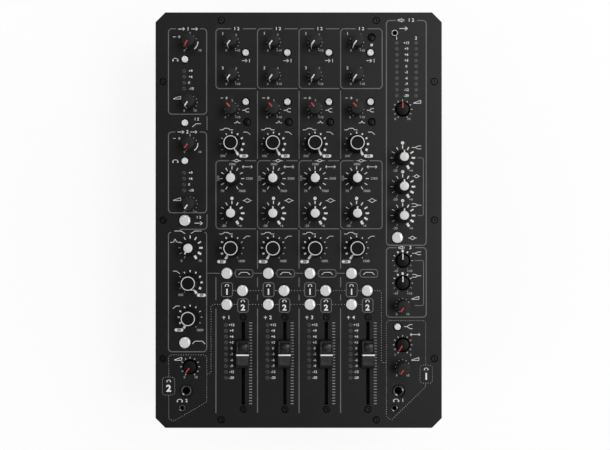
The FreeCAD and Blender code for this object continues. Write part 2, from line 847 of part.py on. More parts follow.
def output_master():
    """A three-pin balanced output: a flange on the wall, a cup behind it and its pins."""
    output = new_body("output_socket")
    flange = new_sketch(output, "output_flange")
    rectangle(flange, 0, 0, size.output_width, size.output_tall)
    add(output, "Pad", flange, size.output_flange_thick)
    cup = new_sketch(output, "output_cup")
    circle(cup, 0, 0, output_body)
    add(output, "Pad", cup, size.output_depth + size.output_wall, reverse=True)
    bore = new_sketch(output, "output_bore", level=size.output_flange_thick)
    circle(bore, 0, 0, size.output_bore)
    add(output, "Pocket", bore, size.output_depth + size.output_flange_thick)
    pins = new_sketch(output, "output_pins", level=-size.output_depth)
    radius = size.output_pin_circle / 2
    for x, y in ((-radius, 0), (radius, 0), (0, -radius)):
        circle(pins, x, y, size.output_pin)
    add(output, "Pad", pins, size.output_pin_length)
    return output


def mains_master():
    """The mains inlet: a flange on the wall, a box behind it and three blades."""
    mains = new_body("mains_inlet")
    rim, wall = size.mains_flange * 2, size.mains_wall * 2
    flange = new_sketch(mains, "mains_flange")
    rectangle(flange, 0, 0, size.mains_width + rim, size.mains_tall + rim)
    add(mains, "Pad", flange, size.mains_flange_thick)
    case = new_sketch(mains, "mains_case")
    rectangle(case, 0, 0, size.mains_width + wall, size.mains_tall + wall)
    add(mains, "Pad", case, size.mains_depth + size.mains_wall, reverse=True)
    mouth = new_sketch(mains, "mains_mouth", level=size.mains_flange_thick)
    rectangle(mouth, 0, 0, size.mains_width, size.mains_tall)
    add(mains, "Pocket", mouth, size.mains_depth + size.mains_flange_thick)
    blades = new_sketch(mains, "mains_blades", level=-size.mains_depth)
    pitch, rise = size.mains_blade_pitch, size.mains_blade_rise / 2
    for x, y in ((-pitch, -rise), (0, rise), (pitch, -rise)):
        rectangle(blades, x, y, size.mains_blade_width, size.mains_blade_tall)
    add(mains, "Pad", blades, size.mains_blade_length)
    return mains


def rear_sockets():
    """Line inputs, balanced outputs and the mains inlet, seated on the wall of the rear bay."""
    phonos, outputs, (mains_x, mains_z) = rear_places()
    phono, output, mains = phono_master(), output_master(), mains_master()
    outward = Rotation(Vector(1, 0, 0), -90)
    items = [copy_of(phono, x, rear_wall, chassis_base + z, outward) for x, z in phonos]
    items += [copy_of(output, x, rear_wall, chassis_base + z, outward) for x, z in outputs]
    items.append(copy_of(mains, mains_x, rear_wall, chassis_base + mains_z, outward))
    group("rear_sockets", items)


def power_supply():
    """A board on four posts with its transformer, behind the mains inlet."""
    floor = chassis_base + size.sheet_thick
    board = floor + size.supply_standoff
    y = rear_wall - size.supply_setback - size.supply_length / 2
    x = left_x + size.supply_width / 4
    half_x = (size.supply_width - size.supply_post) / 2
    half_y = (size.supply_length - size.supply_post) / 2
    items = [box("supply_board", size.supply_width, size.supply_length, size.board_thick, x, y, board)]
    for across in (-1, 1):
        for along in (-1, 1):
            items.append(box(
                "supply_post", size.supply_post, size.supply_post, size.supply_standoff,
                x + half_x * across, y + half_y * along, floor))
    transformer = doc.addObject("Part::Cylinder", "transformer")
    transformer.setExpression("Radius", (size.transformer_diameter / 2).formula)
    transformer.setExpression("Height", size.transformer_height.formula)
    items.append(put(transformer, x, y, board + size.board_thick))
    group("power_supply", items)


def check_and_write():
    doc.recompute()
    for item in doc.Objects:
        if "Invalid" in item.State or "Error" in item.State:
            raise RuntimeError(f"{item.Label} failed: {item.State}")
    os.makedirs("parts", exist_ok=True)
    for name, part in parts.items():
        if part.Shape.isNull() or not part.Shape.isValid():
            raise RuntimeError(f"{name} has no valid shape")
    for name, part in parts.items():
        part.Shape.exportStep(f"parts/{name}.step")
        print(name, len(part.Shape.Solids), "solids", round(part.Shape.Volume / 1000, 2), "cm3")


top_panel()
chassis()
rubber_feet()
knobs()
fader_caps()
fader_bodies()
buttons("small_buttons", all_small(), size.small_button_diameter, size.small_button_height)
buttons("large_buttons", all_large(), size.large_button_diameter, size.large_button_height)
control_bodies()
circuit_boards()
headphone_jacks()
rear_sockets()
power_supply()
check_and_write()
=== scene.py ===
import json
import math

import bmesh
import bpy
from mathutils import Matrix, Vector


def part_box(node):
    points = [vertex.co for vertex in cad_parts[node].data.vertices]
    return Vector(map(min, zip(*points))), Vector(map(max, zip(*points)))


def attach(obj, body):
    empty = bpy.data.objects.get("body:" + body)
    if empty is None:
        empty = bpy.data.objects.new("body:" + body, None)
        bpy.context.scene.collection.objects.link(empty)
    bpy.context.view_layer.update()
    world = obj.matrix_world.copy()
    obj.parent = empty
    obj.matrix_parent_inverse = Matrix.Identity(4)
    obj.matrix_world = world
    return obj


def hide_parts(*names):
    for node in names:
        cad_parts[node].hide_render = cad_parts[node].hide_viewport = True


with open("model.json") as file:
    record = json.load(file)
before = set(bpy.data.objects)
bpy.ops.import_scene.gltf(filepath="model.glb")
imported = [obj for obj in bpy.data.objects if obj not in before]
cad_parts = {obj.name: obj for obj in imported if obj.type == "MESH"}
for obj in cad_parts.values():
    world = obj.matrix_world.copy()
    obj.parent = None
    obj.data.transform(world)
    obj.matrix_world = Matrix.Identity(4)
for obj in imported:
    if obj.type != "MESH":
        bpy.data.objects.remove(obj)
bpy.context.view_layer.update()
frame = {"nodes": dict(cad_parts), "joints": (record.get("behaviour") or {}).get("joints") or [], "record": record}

# Sizes and places are in millimetres here. A piece becomes metres when it is finished.
mm = 0.001
nodes = frame["nodes"]
slotOf = {part["node"]: part["material_slot"] for part in frame["record"]["subparts"]}


# Places that the CAD model gives
def boxOf(node):
    return [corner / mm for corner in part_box(node)]


panelLow, panelHigh = boxOf("top_panel")
panelTop = panelHigh.z
panelThick = panelHigh.z - panelLow.z


def solidsOf(node):
    # A CAD node is loose triangles, so its solids are told apart on a merged copy.
    bm = bmesh.new()
    bm.from_mesh(nodes[node].data)
    bmesh.ops.remove_doubles(bm, verts=bm.verts, dist=1e-6)
    seen, solids = set(), []
    for first in bm.verts:
        if first in seen:
            continue
        seen.add(first)
        waiting, points = [first], []
        while waiting:
            vert = waiting.pop()
            points.append(vert.co / mm)
            fresh = [edge.other_vert(vert) for edge in vert.link_edges]
            fresh = [other for other in fresh if other not in seen]
            seen.update(fresh)
            waiting += fresh
        low = Vector(min(point[axis] for point in points) for axis in range(3))
        high = Vector(max(point[axis] for point in points) for axis in range(3))
        solids.append((low, high))
    bm.free()
    return solids


def middles(solids):
    return [((low.x + high.x) / 2, (low.y + high.y) / 2) for low, high in solids]


def readKnobs():
    knobs = {}
    for joint in frame["joints"]:
        if joint["type"] != "hinge":
            continue
        node = joint["child"]
        kind = slotOf[node].split("_")[0]
        if kind == "black":
            kind = "tall" if boxOf(node)[1].z > panelTop + 6 else "low"
        x, y = (part / mm for part in joint["pos_m"][:2])
        # The middle of a knob's range points to the rear, so this is its rest angle clockwise from there.
        knobs[node] = {"kind": kind, "x": x, "y": y, "rest": sum(joint["range_deg"]) / 2}
    return knobs


knobs = readKnobs()
channels = range(1, 5)
panelGrid = {"knobOffset": 14.2, "pitch": 36.0}
channelLeft = {c: knobs[f"channel_{c}_trim_knob"]["x"] - panelGrid["knobOffset"] for c in channels}
faderX = {c: sum(corner.x for corner in boxOf(f"channel_{c}_fader_cap")) / 2 for c in channels}
trackLow, trackHigh = boxOf("fader_bodies")
smallButtons = middles(solidsOf("small_buttons"))
largeButtons = middles(solidsOf("large_buttons"))
jacks = solidsOf("headphone_jacks")
jackWidth = 12.0  # a quarter-inch jack is wider than this, a mini jack narrower
quarterJacks = middles([jack for jack in jacks if jack[1].x - jack[0].x > jackWidth])
miniJacks = middles([jack for jack in jacks if jack[1].x - jack[0].x < jackWidth])


# Materials
def hexColour(text):
    channel = [int(text[i:i + 2], 16) / 255 for i in (1, 3, 5)]
    return [c / 12.92 if c <= 0.04045 else ((c + 0.055) / 1.055) ** 2.4 for c in channel] + [1.0]


def addNode(tree, kind, inputs=None, **settings):
    node = tree.nodes.new(kind)
    for name, value in settings.items():
        setattr(node, name, value)
    for socket, value in (inputs or {}).items():
        if isinstance(value, bpy.types.NodeSocket):
            tree.links.new(value, node.inputs[socket])
        else:
            node.inputs[socket].default_value = value
    return node


# How fine the noise is, which part of its range is used, and how high a grain stands for its width
noiseLook = {"detail": 3.0, "fine": 0.6, "cloudDetail": 2.0, "blend": (0.7, 1.3), "gloss": (0.3, 0.7),
             "height": 0.2}


def grainedFinish(name, look):
    # Two shades drift slowly over the piece, and a finer grain roughens and bumps it.
    material = bpy.data.materials.new(name)
    material.use_nodes = True
    tree = material.node_tree
    shader = tree.nodes["Principled BSDF"]
    for socket, value in look.get("shader", {}).items():
        shader.inputs[socket].default_value = value
    where = addNode(tree, "ShaderNodeTexCoord").outputs["Object"]
    if "stretch" in look:
        where = addNode(tree, "ShaderNodeMapping", {
            "Vector": where, "Scale": look["stretch"]}).outputs[0]
    grain = addNode(tree, "ShaderNodeTexNoise", {
        "Vector": where, "Scale": 1 / (look["grain"] * mm), "Detail": noiseLook["detail"],
        "Roughness": noiseLook["fine"]}).outputs["Fac"]
    cloud = addNode(tree, "ShaderNodeTexNoise", {
        "Vector": where, "Scale": 1 / (look["cloud"] * mm),
        "Detail": noiseLook["cloudDetail"]}).outputs["Fac"]
    low, high = noiseLook["blend"]
    blend = addNode(tree, "ShaderNodeMath", {0: grain, 1: cloud}, operation="ADD").outputs[0]
    blend = addNode(tree, "ShaderNodeMapRange", {0: blend, 1: low, 2: high, 3: 0.0, 4: 1.0}).outputs[0]
    shade = addNode(tree, "ShaderNodeMix", {
        0: blend, 6: hexColour(look["dark"]), 7: hexColour(look["light"])}, data_type="RGBA").outputs[2]
    low, high = noiseLook["gloss"]
    smooth, rough = look["roughness"]
    gloss = addNode(tree, "ShaderNodeMapRange", {
        0: grain, 1: low, 2: high, 3: smooth, 4: rough}).outputs[0]
    bump = addNode(tree, "ShaderNodeBump", {
        "Strength": look["bump"], "Distance": look["grain"] * mm * noiseLook["height"],
        "Height": grain}).outputs[0]
    if "soften" in look:
        # Light spreads inside a translucent cap, so its colour shades flatter than its gloss.
        side = 1 - look["soften"]
        bump = addNode(tree, "ShaderNodeVectorMath", {
            0: bump, 1: (side, side, 1.0)}, operation="MULTIPLY").outputs[0]
        bump = addNode(tree, "ShaderNodeVectorMath", {0: bump}, operation="NORMALIZE").outputs[0]
    tree.links.new(shade, shader.inputs["Base Color"])
    tree.links.new(gloss, shader.inputs["Roughness"])
    tree.links.new(bump, shader.inputs["Normal"])
    return material


# Epoxy screen ink lies on the powder and takes on its grit.
screenInk = {"roughness": (0.45, 0.6), "grain": 0.6, "cloud": 8.0, "bump": 0.15}
finishes = {
    # Baked polyester powder with a broad soft sheen. The real grit is 0.2 mm, drawn at 0.9 mm to show.
    "blackPowderCoat": {"dark": "#09090a", "light": "#0f0f10", "roughness": (0.45, 0.52),
                        "grain": 0.9, "cloud": 26.0, "bump": 0.3, "shader": {"Specular IOR Level": 0.36}},
    # The same powder on the folded case, which is seen from further off.
    "casePowderCoat": {"dark": "#131314", "light": "#1a1a1b", "roughness": (0.5, 0.62),
                       "grain": 1.1, "cloud": 40.0, "bump": 0.35, "shader": {"Specular IOR Level": 0.35}},
    # Four strengths of the ink: white for signs, greyer for end numbers, scales and frames
    "whiteScreenInk": {**screenInk, "dark": "#d3d3d1", "light": "#e3e3e1"},
    "paleScreenInk": {**screenInk, "dark": "#9b9b9b", "light": "#acacac"},
    "dimScreenInk": {**screenInk, "dark": "#797979", "light": "#878787"},
    "greyScreenInk": {**screenInk, "dark": "#5e5e5f", "light": "#69696a"},
    # Bare powder shows through where the ink is left open.
    "openInk": {**screenInk, "dark": "#222223", "light": "#2c2c2d", "roughness": (0.5, 0.66)},
    # Moulded ABS from a spark-eroded tool: a fine even matt grain, deep black.
    "blackAbs": {"dark": "#080809", "light": "#0d0d0e", "roughness": (0.42, 0.56),
                 "grain": 0.35, "cloud": 6.0, "bump": 0.18, "shader": {"Specular IOR Level": 0.17}},
    # Soft-touch lacquer over ABS: greyer and flatter than the bare plastic.
    "softTouchBlack": {"dark": "#151516", "light": "#1a1a1b", "roughness": (0.55, 0.68),
                       "grain": 0.3, "cloud": 5.0, "bump": 0.12, "shader": {"Specular IOR Level": 0.3}},
    # Fader caps are polished by fingers, so their edges catch more light.
    "wornBlackAbs": {"dark": "#070708", "light": "#0c0c0d", "roughness": (0.35, 0.43),
                     "grain": 0.35, "cloud": 5.0, "bump": 0.08},
    # The finger rest on their front half is matt, and its colour is painted greyer than the rest of the cap:
    # painted light on the same plastic.
    "mattBlackAbs": {"dark": "#28282a", "light": "#2f2f31", "roughness": (0.52, 0.64),
                     "grain": 0.35, "cloud": 5.0, "bump": 0.12, "shader": {"Specular IOR Level": 0.3}},
    # Dyed ABS of the light caps and the pointers: one even colour, with a faint sheen.
    "paleAbs": {"dark": "#c5c5c3", "light": "#d0d0ce", "roughness": (0.34, 0.46),
                "grain": 0.35, "cloud": 5.0, "bump": 0.1},
    "redAbs": {"dark": "#ad2f38", "light": "#bb3a42", "roughness": (0.36, 0.48),
               "grain": 0.35, "cloud": 5.0, "bump": 0.1},
    # Polycarbonate button caps, polished in the mould. The large ones are translucent under a clear skin.
    "whitePolycarbonate": {"dark": "#d2d2d0", "light": "#dcdcda", "roughness": (0.22, 0.3),
                           "grain": 0.5, "cloud": 5.0, "bump": 0.04},
    "palePolycarbonate": {"dark": "#cfcfcd", "light": "#d6d6d4", "roughness": (0.4, 0.5),
                          "grain": 0.5, "cloud": 5.0, "bump": 0.02, "soften": 0.75,
                          "shader": {"Specular IOR Level": 0.0, "Coat Weight": 1.0,
                                     "Coat Roughness": 0.06, "Coat IOR": 1.8}},
    # Diffused epoxy of an unlit lamp: milky grey, its skin dulled.
    "milkyEpoxy": {"dark": "#3e3e40", "light": "#49494a", "roughness": (0.5, 0.62),
                   "grain": 0.4, "cloud": 2.0, "bump": 0.05, "shader": {"Specular IOR Level": 0.3}},
    # Clear epoxy over a white base: pale and smooth.
    "paleEpoxy": {"dark": "#c4c4c3", "light": "#d2d2d1", "roughness": (0.4, 0.52),
                  "grain": 0.4, "cloud": 2.0, "bump": 0.05},
    # Smoked epoxy of the dark lamps: near black, with a weak shine.
    "smokedEpoxy": {"dark": "#09090a", "light": "#0f0f10", "roughness": (0.44, 0.54),
                    "grain": 0.6, "cloud": 4.0, "bump": 0.05, "shader": {"Specular IOR Level": 0.2}},
    # Black oxide on steel: thin, dark and a little oily.
    "blackOxideSteel": {"dark": "#050506", "light": "#09090a", "roughness": (0.29, 0.35),
                        "grain": 0.4, "cloud": 3.0, "bump": 0.12, "shader": {"Specular IOR Level": 0.5}},
    # Bright nickel, turned: a soft mirror with faint tool marks.
    "brightNickel": {"dark": "#b9b6b0", "light": "#cdcac4", "roughness": (0.16, 0.26),
                     "grain": 0.3, "cloud": 4.0, "bump": 0.06, "shader": {"Metallic": 1.0}},
    # Black nickel on the jacks: dark where it is flat, bright where the chamfer meets the light.
    "blackNickel": {"dark": "#565655", "light": "#646463", "roughness": (0.15, 0.22),
                    "grain": 0.3, "cloud": 4.0, "bump": 0.06, "shader": {"Metallic": 1.0}},
    # A flash of gold on contact pins: warm and bright.
    "goldFlash": {"dark": "#b98f45", "light": "#cda65c", "roughness": (0.2, 0.3),
                  "grain": 0.3, "cloud": 4.0, "bump": 0.05, "shader": {"Metallic": 1.0}},
    # Zinc-plated sheet: grey with a grain from the rolling.
    "zincSheet": {"dark": "#8b8d8f", "light": "#a3a5a6", "roughness": (0.3, 0.45),
                  "grain": 1.2, "cloud": 9.0, "bump": 0.1, "stretch": (1, 0.1, 1),
                  "shader": {"Metallic": 1.0}},
    # Moulded rubber of the feet: almost no sheen.
    "mattRubber": {"dark": "#151516", "light": "#1d1d1e", "roughness": (0.75, 0.9),
                   "grain": 0.7, "cloud": 7.0, "bump": 0.25},
    # Moulded nylon of socket bodies and their rings: dull, with a slight grain.
    "blackNylon": {"dark": "#0f0f10", "light": "#151516", "roughness": (0.42, 0.55),
                   "grain": 0.5, "cloud": 6.0, "bump": 0.12},
    "redNylon": {"dark": "#a3272c", "light": "#b43237", "roughness": (0.38, 0.5),
                 "grain": 0.5, "cloud": 5.0, "bump": 0.08},
    "whiteNylon": {"dark": "#d3d2cc", "light": "#dfded9", "roughness": (0.38, 0.5),
                   "grain": 0.5, "cloud": 5.0, "bump": 0.08},
    # Solder mask over woven glass: a deep green, smooth over the weave.
    "greenSolderMask": {"dark": "#134a2b", "light": "#1d6139", "roughness": (0.25, 0.38),
                        "grain": 1.0, "cloud": 3.0, "bump": 0.1},
}
finish = {name: grainedFinish(name, look) for name, look in finishes.items()}
print("finishes:", len(finish))


# Mesh building
def finishPiece(name, mesh, materials=(), body="mixer", replaced=(), sharpAngle=32):
    # A mesh from a tree has its material already.
    mesh.name = name
    for material in materials:
        mesh.materials.append(finish[material])
    mesh.transform(Matrix.Scale(mm, 4))
    mesh.shade_smooth()
    mesh.set_sharp_from_angle(angle=math.radians(sharpAngle))
    piece = bpy.data.objects.new(name, mesh)
    bpy.context.scene.collection.objects.link(piece)
    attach(piece, body)
    if replaced:
        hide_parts(*replaced)
    return piece


def meshOf(bm):
    mesh = bpy.data.meshes.new("work")
    bm.to_mesh(mesh)
    bm.free()
    return mesh


def rectangle(halfX, halfY):
    return [(-halfX, -halfY), (-halfX, halfY), (halfX, halfY), (halfX, -halfY)]


def ringOf(bm, radius, height, segments, sides=0):
    # With sides, the ring is a regular polygon. A pair as radius gives a rectangle with soft corners.
    verts = []
    for step in range(segments):
        angle = math.tau * step / segments
        reach = radius
        if isinstance(radius, tuple):
            across, along = math.cos(angle) / radius[0], math.sin(angle) / radius[1]
            reach = (across ** 10 + along ** 10) ** -0.1
        elif sides:
            side = math.tau / sides
            reach = radius / math.cos((angle + side / 2) % side - side / 2)
        verts.append(bm.verts.new((reach * math.cos(angle), reach * math.sin(angle), height)))
    return verts


def addTurned(bm, profile, segments, closed=False, matrix=None, sides=None):
    # The profile is (radius, height, finish): from the lower axis, out, and up to the upper axis.
    sides = sides or {}
    rows = []
    for number, point in enumerate(profile):
        radius, height = point[:2]
        if radius == 0:
            rows.append([bm.verts.new((0, 0, height))])
        else:
            rows.append(ringOf(bm, radius, height, segments, sides.get(number, 0)))
    pairs = [(i, i + 1) for i in range(len(rows) - 1)]
    if closed:
        pairs.append((len(rows) - 1, 0))
    for i, j in pairs:
        last, row, index = rows[i], rows[j], profile[j][2]
        for step in range(segments):
            after = (step + 1) % segments
            if len(last) == 1:
                corners = (last[0], row[after], row[step])
            elif len(row) == 1:
                corners = (last[step], last[after], row[0])
            else:
                corners = (last[step], last[after], row[after], row[step])
            bm.faces.new(corners).material_index = index
    if matrix:
        bmesh.ops.transform(bm, matrix=matrix, verts=[vert for row in rows for vert in row])


def turnedMesh(profile, segments, **options):
    bm = bmesh.new()
    addTurned(bm, profile, segments, **options)
    return meshOf(bm)


def addStrip(bm, path, width, depth, index, matrix):
    # An inlay along (reach, height) points: its outer face follows them, its inner face lies below.
    rows = []
    for reach, height in path:
        outer = [(-width / 2, reach, height), (width / 2, reach, height)]
        inner = [(x, reach - depth, height - depth) for x in (width / 2, -width / 2)]
        rows.append([bm.verts.new(matrix @ Vector(point)) for point in outer + inner])
    for last, row in zip(rows, rows[1:]):
        for step in range(4):
            after = (step + 1) % 4
            bm.faces.new((last[step], last[after], row[after], row[step])).material_index = index
    bm.faces.new(rows[0][::-1]).material_index = index
    bm.faces.new(rows[-1]).material_index = index


def addLoft(bm, rings, indexOf=lambda row, step: 0):
    rows = [[bm.verts.new(point) for point in ring] for ring in rings]
    count = len(rows[0])
    for number, (last, row) in enumerate(zip(rows, rows[1:])):
        for step in range(count):
            after = (step + 1) % count
            face = bm.faces.new((last[step], last[after], row[after], row[step]))
            face.material_index = indexOf(number, step)
    bm.faces.new(rows[0][::-1])
    bm.faces.new(rows[-1])


# Geometry Nodes trees
def newTree(name, sockets):
    tree = bpy.data.node_groups.new(name, "GeometryNodeTree")
    for label, kind in sockets:
        tree.interface.new_socket(name=label, in_out="INPUT", socket_type=f"NodeSocket{kind}")
    tree.interface.new_socket(name="Result", in_out="OUTPUT", socket_type="NodeSocketGeometry")
    return tree, addNode(tree, "NodeGroupInput").outputs


def endTree(tree, geometry, material):
    real = addNode(tree, "GeometryNodeRealizeInstances", {0: geometry}).outputs[0]
    painted = addNode(tree, "GeometryNodeSetMaterial", {0: real, "Material": material}).outputs[0]
    addNode(tree, "NodeGroupOutput", {0: painted})


def dialTree():
    # A row of marks along an arc on every centre. They grow along the arc, or towards its top.
    tree, given = newTree("dialMarks", [
        ("Centres", "Geometry"), ("Marks", "Int"), ("First angle", "Float"), ("Last angle", "Float"),
        ("Radius", "Float"), ("Thin length", "Float"), ("Thick length", "Float"), ("Thin", "Float"),
        ("Thick", "Float"), ("Growth", "Float"), ("Crest", "Float"), ("Depth", "Float"), ("Round", "Bool"),
        ("Ink", "Material")])
    index = addNode(tree, "GeometryNodeInputIndex").outputs[0]
    steps = addNode(tree, "ShaderNodeMath", {0: given["Marks"], 1: 1.0}, operation="SUBTRACT").outputs[0]
    share = addNode(tree, "ShaderNodeMath", {0: index, 1: steps}, operation="DIVIDE").outputs[0]
    angle = addNode(tree, "ShaderNodeMapRange", {
        0: share, 3: given["First angle"], 4: given["Last angle"]}).outputs[0]
    sine = addNode(tree, "ShaderNodeMath", {0: angle}, operation="SINE").outputs[0]
    cosine = addNode(tree, "ShaderNodeMath", {0: angle}, operation="COSINE").outputs[0]
    east = addNode(tree, "ShaderNodeMath", {0: sine, 1: given["Radius"]}, operation="MULTIPLY").outputs[0]
    north = addNode(tree, "ShaderNodeMath", {0: cosine, 1: given["Radius"]}, operation="MULTIPLY").outputs[0]
    place = addNode(tree, "ShaderNodeCombineXYZ", {0: east, 1: north}).outputs[0]
    side = addNode(tree, "ShaderNodeMath", {0: share, 1: 0.5}, operation="SUBTRACT").outputs[0]
    side = addNode(tree, "ShaderNodeMath", {0: side}, operation="ABSOLUTE").outputs[0]
    rise = addNode(tree, "ShaderNodeMapRange", {0: side, 1: 0.5, 2: 0.0, 3: 0.0, 4: 1.0}).outputs[0]
    grade = addNode(tree, "ShaderNodeMix", {
        0: given["Crest"], 2: share, 3: rise}, data_type="FLOAT").outputs[0]
    grade = addNode(tree, "ShaderNodeMath", {0: grade, 1: given["Growth"]}, operation="POWER").outputs[0]
    width = addNode(tree, "ShaderNodeMapRange", {0: grade, 3: given["Thin"], 4: given["Thick"]}).outputs[0]
    length = addNode(tree, "ShaderNodeMapRange", {
        0: grade, 3: given["Thin length"], 4: given["Thick length"]}).outputs[0]
    scale = addNode(tree, "ShaderNodeCombineXYZ", {0: width, 1: length, 2: given["Depth"]}).outputs[0]
    clockwise = addNode(tree, "ShaderNodeMath", {0: angle, 1: -1.0}, operation="MULTIPLY").outputs[0]
    turn = addNode(tree, "ShaderNodeCombineXYZ", {2: clockwise}).outputs[0]
    row = addNode(tree, "GeometryNodeMeshLine", {"Count": given["Marks"]}).outputs[0]
    row = addNode(tree, "GeometryNodeSetPosition", {0: row, "Position": place}).outputs[0]
    bar = addNode(tree, "GeometryNodeMeshCube").outputs[0]
    dot = addNode(tree, "GeometryNodeMeshCylinder", {"Vertices": 14, "Radius": 0.5, "Depth": 1.0}).outputs[0]
    mark = addNode(tree, "GeometryNodeSwitch", {0: given["Round"], 1: bar, 2: dot}).outputs[0]
    dial = addNode(tree, "GeometryNodeInstanceOnPoints", {
        "Points": row, "Instance": mark, "Rotation": turn, "Scale": scale}).outputs[0]
    dials = addNode(tree, "GeometryNodeInstanceOnPoints", {
        "Points": given["Centres"], "Instance": dial}).outputs[0]
    endTree(tree, dials, given["Ink"])
    return tree


def softPath(tree, given):
    curve = addNode(tree, "GeometryNodeMeshToCurve", {0: given["Paths"]}).outputs[0]
    return addNode(tree, "GeometryNodeFilletCurve", {
        "Curve": curve, "Count": 6, "Radius": given["Corner"], "Limit Radius": True}, mode="POLY").outputs[0]


def lineTree():
    # A flat printed line with rounded corners along every path.
    tree, given = newTree("printedLines", [
        ("Paths", "Geometry"), ("Corner", "Float"), ("Width", "Float"), ("Depth", "Float"),
        ("Ink", "Material")])
    curve = softPath(tree, given)
    curve = addNode(tree, "GeometryNodeSetCurveNormal", {0: curve}, mode="Z_UP").outputs[0]
    section = addNode(tree, "GeometryNodeCurvePrimitiveQuadrilateral", {
        "Width": given["Width"], "Height": given["Depth"]}).outputs[0]
    line = addNode(tree, "GeometryNodeCurveToMesh", {
        "Curve": curve, "Profile Curve": section, "Fill Caps": True}).outputs[0]
    endTree(tree, line, given["Ink"])
    return tree


def dotTree():
    # Evenly spaced dots along every path.
    tree, given = newTree("dottedLines", [
        ("Paths", "Geometry"), ("Corner", "Float"), ("Pitch", "Float"), ("Dot", "Float"),
        ("Depth", "Float"), ("Ink", "Material")])
    points = addNode(tree, "GeometryNodeResampleCurve", {
        "Curve": softPath(tree, given), "Length": given["Pitch"]}, mode="LENGTH").outputs[0]
    half = addNode(tree, "ShaderNodeMath", {0: given["Dot"], 1: 0.5}, operation="MULTIPLY").outputs[0]
    dot = addNode(tree, "GeometryNodeMeshCylinder", {
        "Vertices": 12, "Radius": half, "Depth": given["Depth"]}).outputs[0]
    dots = addNode(tree, "GeometryNodeInstanceOnPoints", {
        "Points": points, "Instance": dot}).outputs[0]
    endTree(tree, dots, given["Ink"])
    return tree


def copyTree():
    # One small piece on every point.
    tree, given = newTree("copiesOnPoints", [
        ("Places", "Geometry"), ("Piece", "Object"), ("Finish", "Material")])
    piece = addNode(tree, "GeometryNodeObjectInfo", {"Object": given["Piece"]}).outputs["Geometry"]
    copies = addNode(tree, "GeometryNodeInstanceOnPoints", {
        "Points": given["Places"], "Instance": piece}).outputs[0]
    endTree(tree, copies, given["Finish"])
    return tree


dialMarks, printedLines, dottedLines, copiesOnPoints = dialTree(), lineTree(), dotTree(), copyTree()


def grow(tree, base, inputs):
    # Runs a tree on a base mesh and hands back the plain mesh that comes out.
    carrier = bpy.data.objects.new("carrier", base)
    bpy.context.scene.collection.objects.link(carrier)
    modifier = carrier.modifiers.new("grow", "NODES")
    modifier.node_group = tree
    for item in tree.interface.items_tree:
        if item.in_out == "INPUT" and item.name in inputs:
            modifier[item.identifier] = inputs[item.name]
    bpy.context.view_layer.update()
    grown = carrier.evaluated_get(bpy.context.evaluated_depsgraph_get())
    mesh = bpy.data.meshes.new_from_object(grown)
    carrier.modifiers.remove(modifier)
    bpy.data.objects.remove(carrier)
    bpy.data.meshes.remove(base)
    return mesh


def pointMesh(places, height):
    mesh = bpy.data.meshes.new("places")
    mesh.from_pydata([(x, y, height) for x, y in places], [], [])
    return mesh


def pathMesh(paths, height):
    mesh = bpy.data.meshes.new("paths")
    points, edges = [], []
    for path in paths:
        first = len(points)
        closed = path[0] == path[-1]
        loop = path[:-1] if closed else path
        points += [(x, y, height) for x, y in loop]
        edges += [(first + i, first + i + 1) for i in range(len(loop) - 1)]
        if closed:
            edges.append((first + len(loop) - 1, first))
    mesh.from_pydata(points, edges, [])
    return mesh


def finishCopies(name, shape, places, height, material, body="mixer", replaced=()):
    # One piece, with a copy of a small mesh on every place.
    pattern = bpy.data.objects.new("pattern", shape)
    mesh = grow(copiesOnPoints, pointMesh(places, height), {"Piece": pattern, "Finish": finish[material]})
    bpy.data.objects.remove(pattern)
    finishPiece(name, mesh, body=body, replaced=replaced)


# Printed ink stands a few hundredths proud of the powder coat, and a second coat a little more.
ink = {"depth": 0.08, "level": panelTop + 0.01, "coat": 0.04}
print("trees ready")


# Top panel: a plate with cut corners, its edges and every hole slightly rounded
panelLook = {
    "cornerCut": 8.5, "edge": 0.1, "circleSteps": 56,
    "shaftHole": 7.0, "lowHole": 13.0, "smallHole": 7.6, "largeHole": 11.0,
    "quarterHole": 11.4, "miniHole": 6.8, "lampHole": 7.2, "screwHole": 6.4,
    "slotWidth": 3.0, "slotLength": 72.0, "flatFrom": 0.98,
}
lampOffset = {"x": 27.2, "drop": 11.0}
sideLamp = (63.0, 158.3)
trimRow = knobs["channel_1_trim_knob"]["y"]
lamps = [(channelLeft[c] + lampOffset["x"], trimRow - lampOffset["drop"]) for c in channels]
lamps.append(sideLamp)
trackMiddle = (trackLow.y + trackHigh.y) / 2
screwGrid = {"rearX": 67.2, "rearY": 173.0, "sideX": 117.5, "sideY": 120.0, "faderReach": 40.0}
panelScrews = [(x * screwGrid["rearX"], y * screwGrid["rearY"]) for x in (-1, 1) for y in (-1, 1)]
panelScrews += [(x * screwGrid["sideX"], y * screwGrid["sideY"]) for x in (-1, 1) for y in (-1, 0, 1)]
faderScrews = [(faderX[c], trackMiddle + end * screwGrid["faderReach"]) for c in channels for end in (-1, 1)]


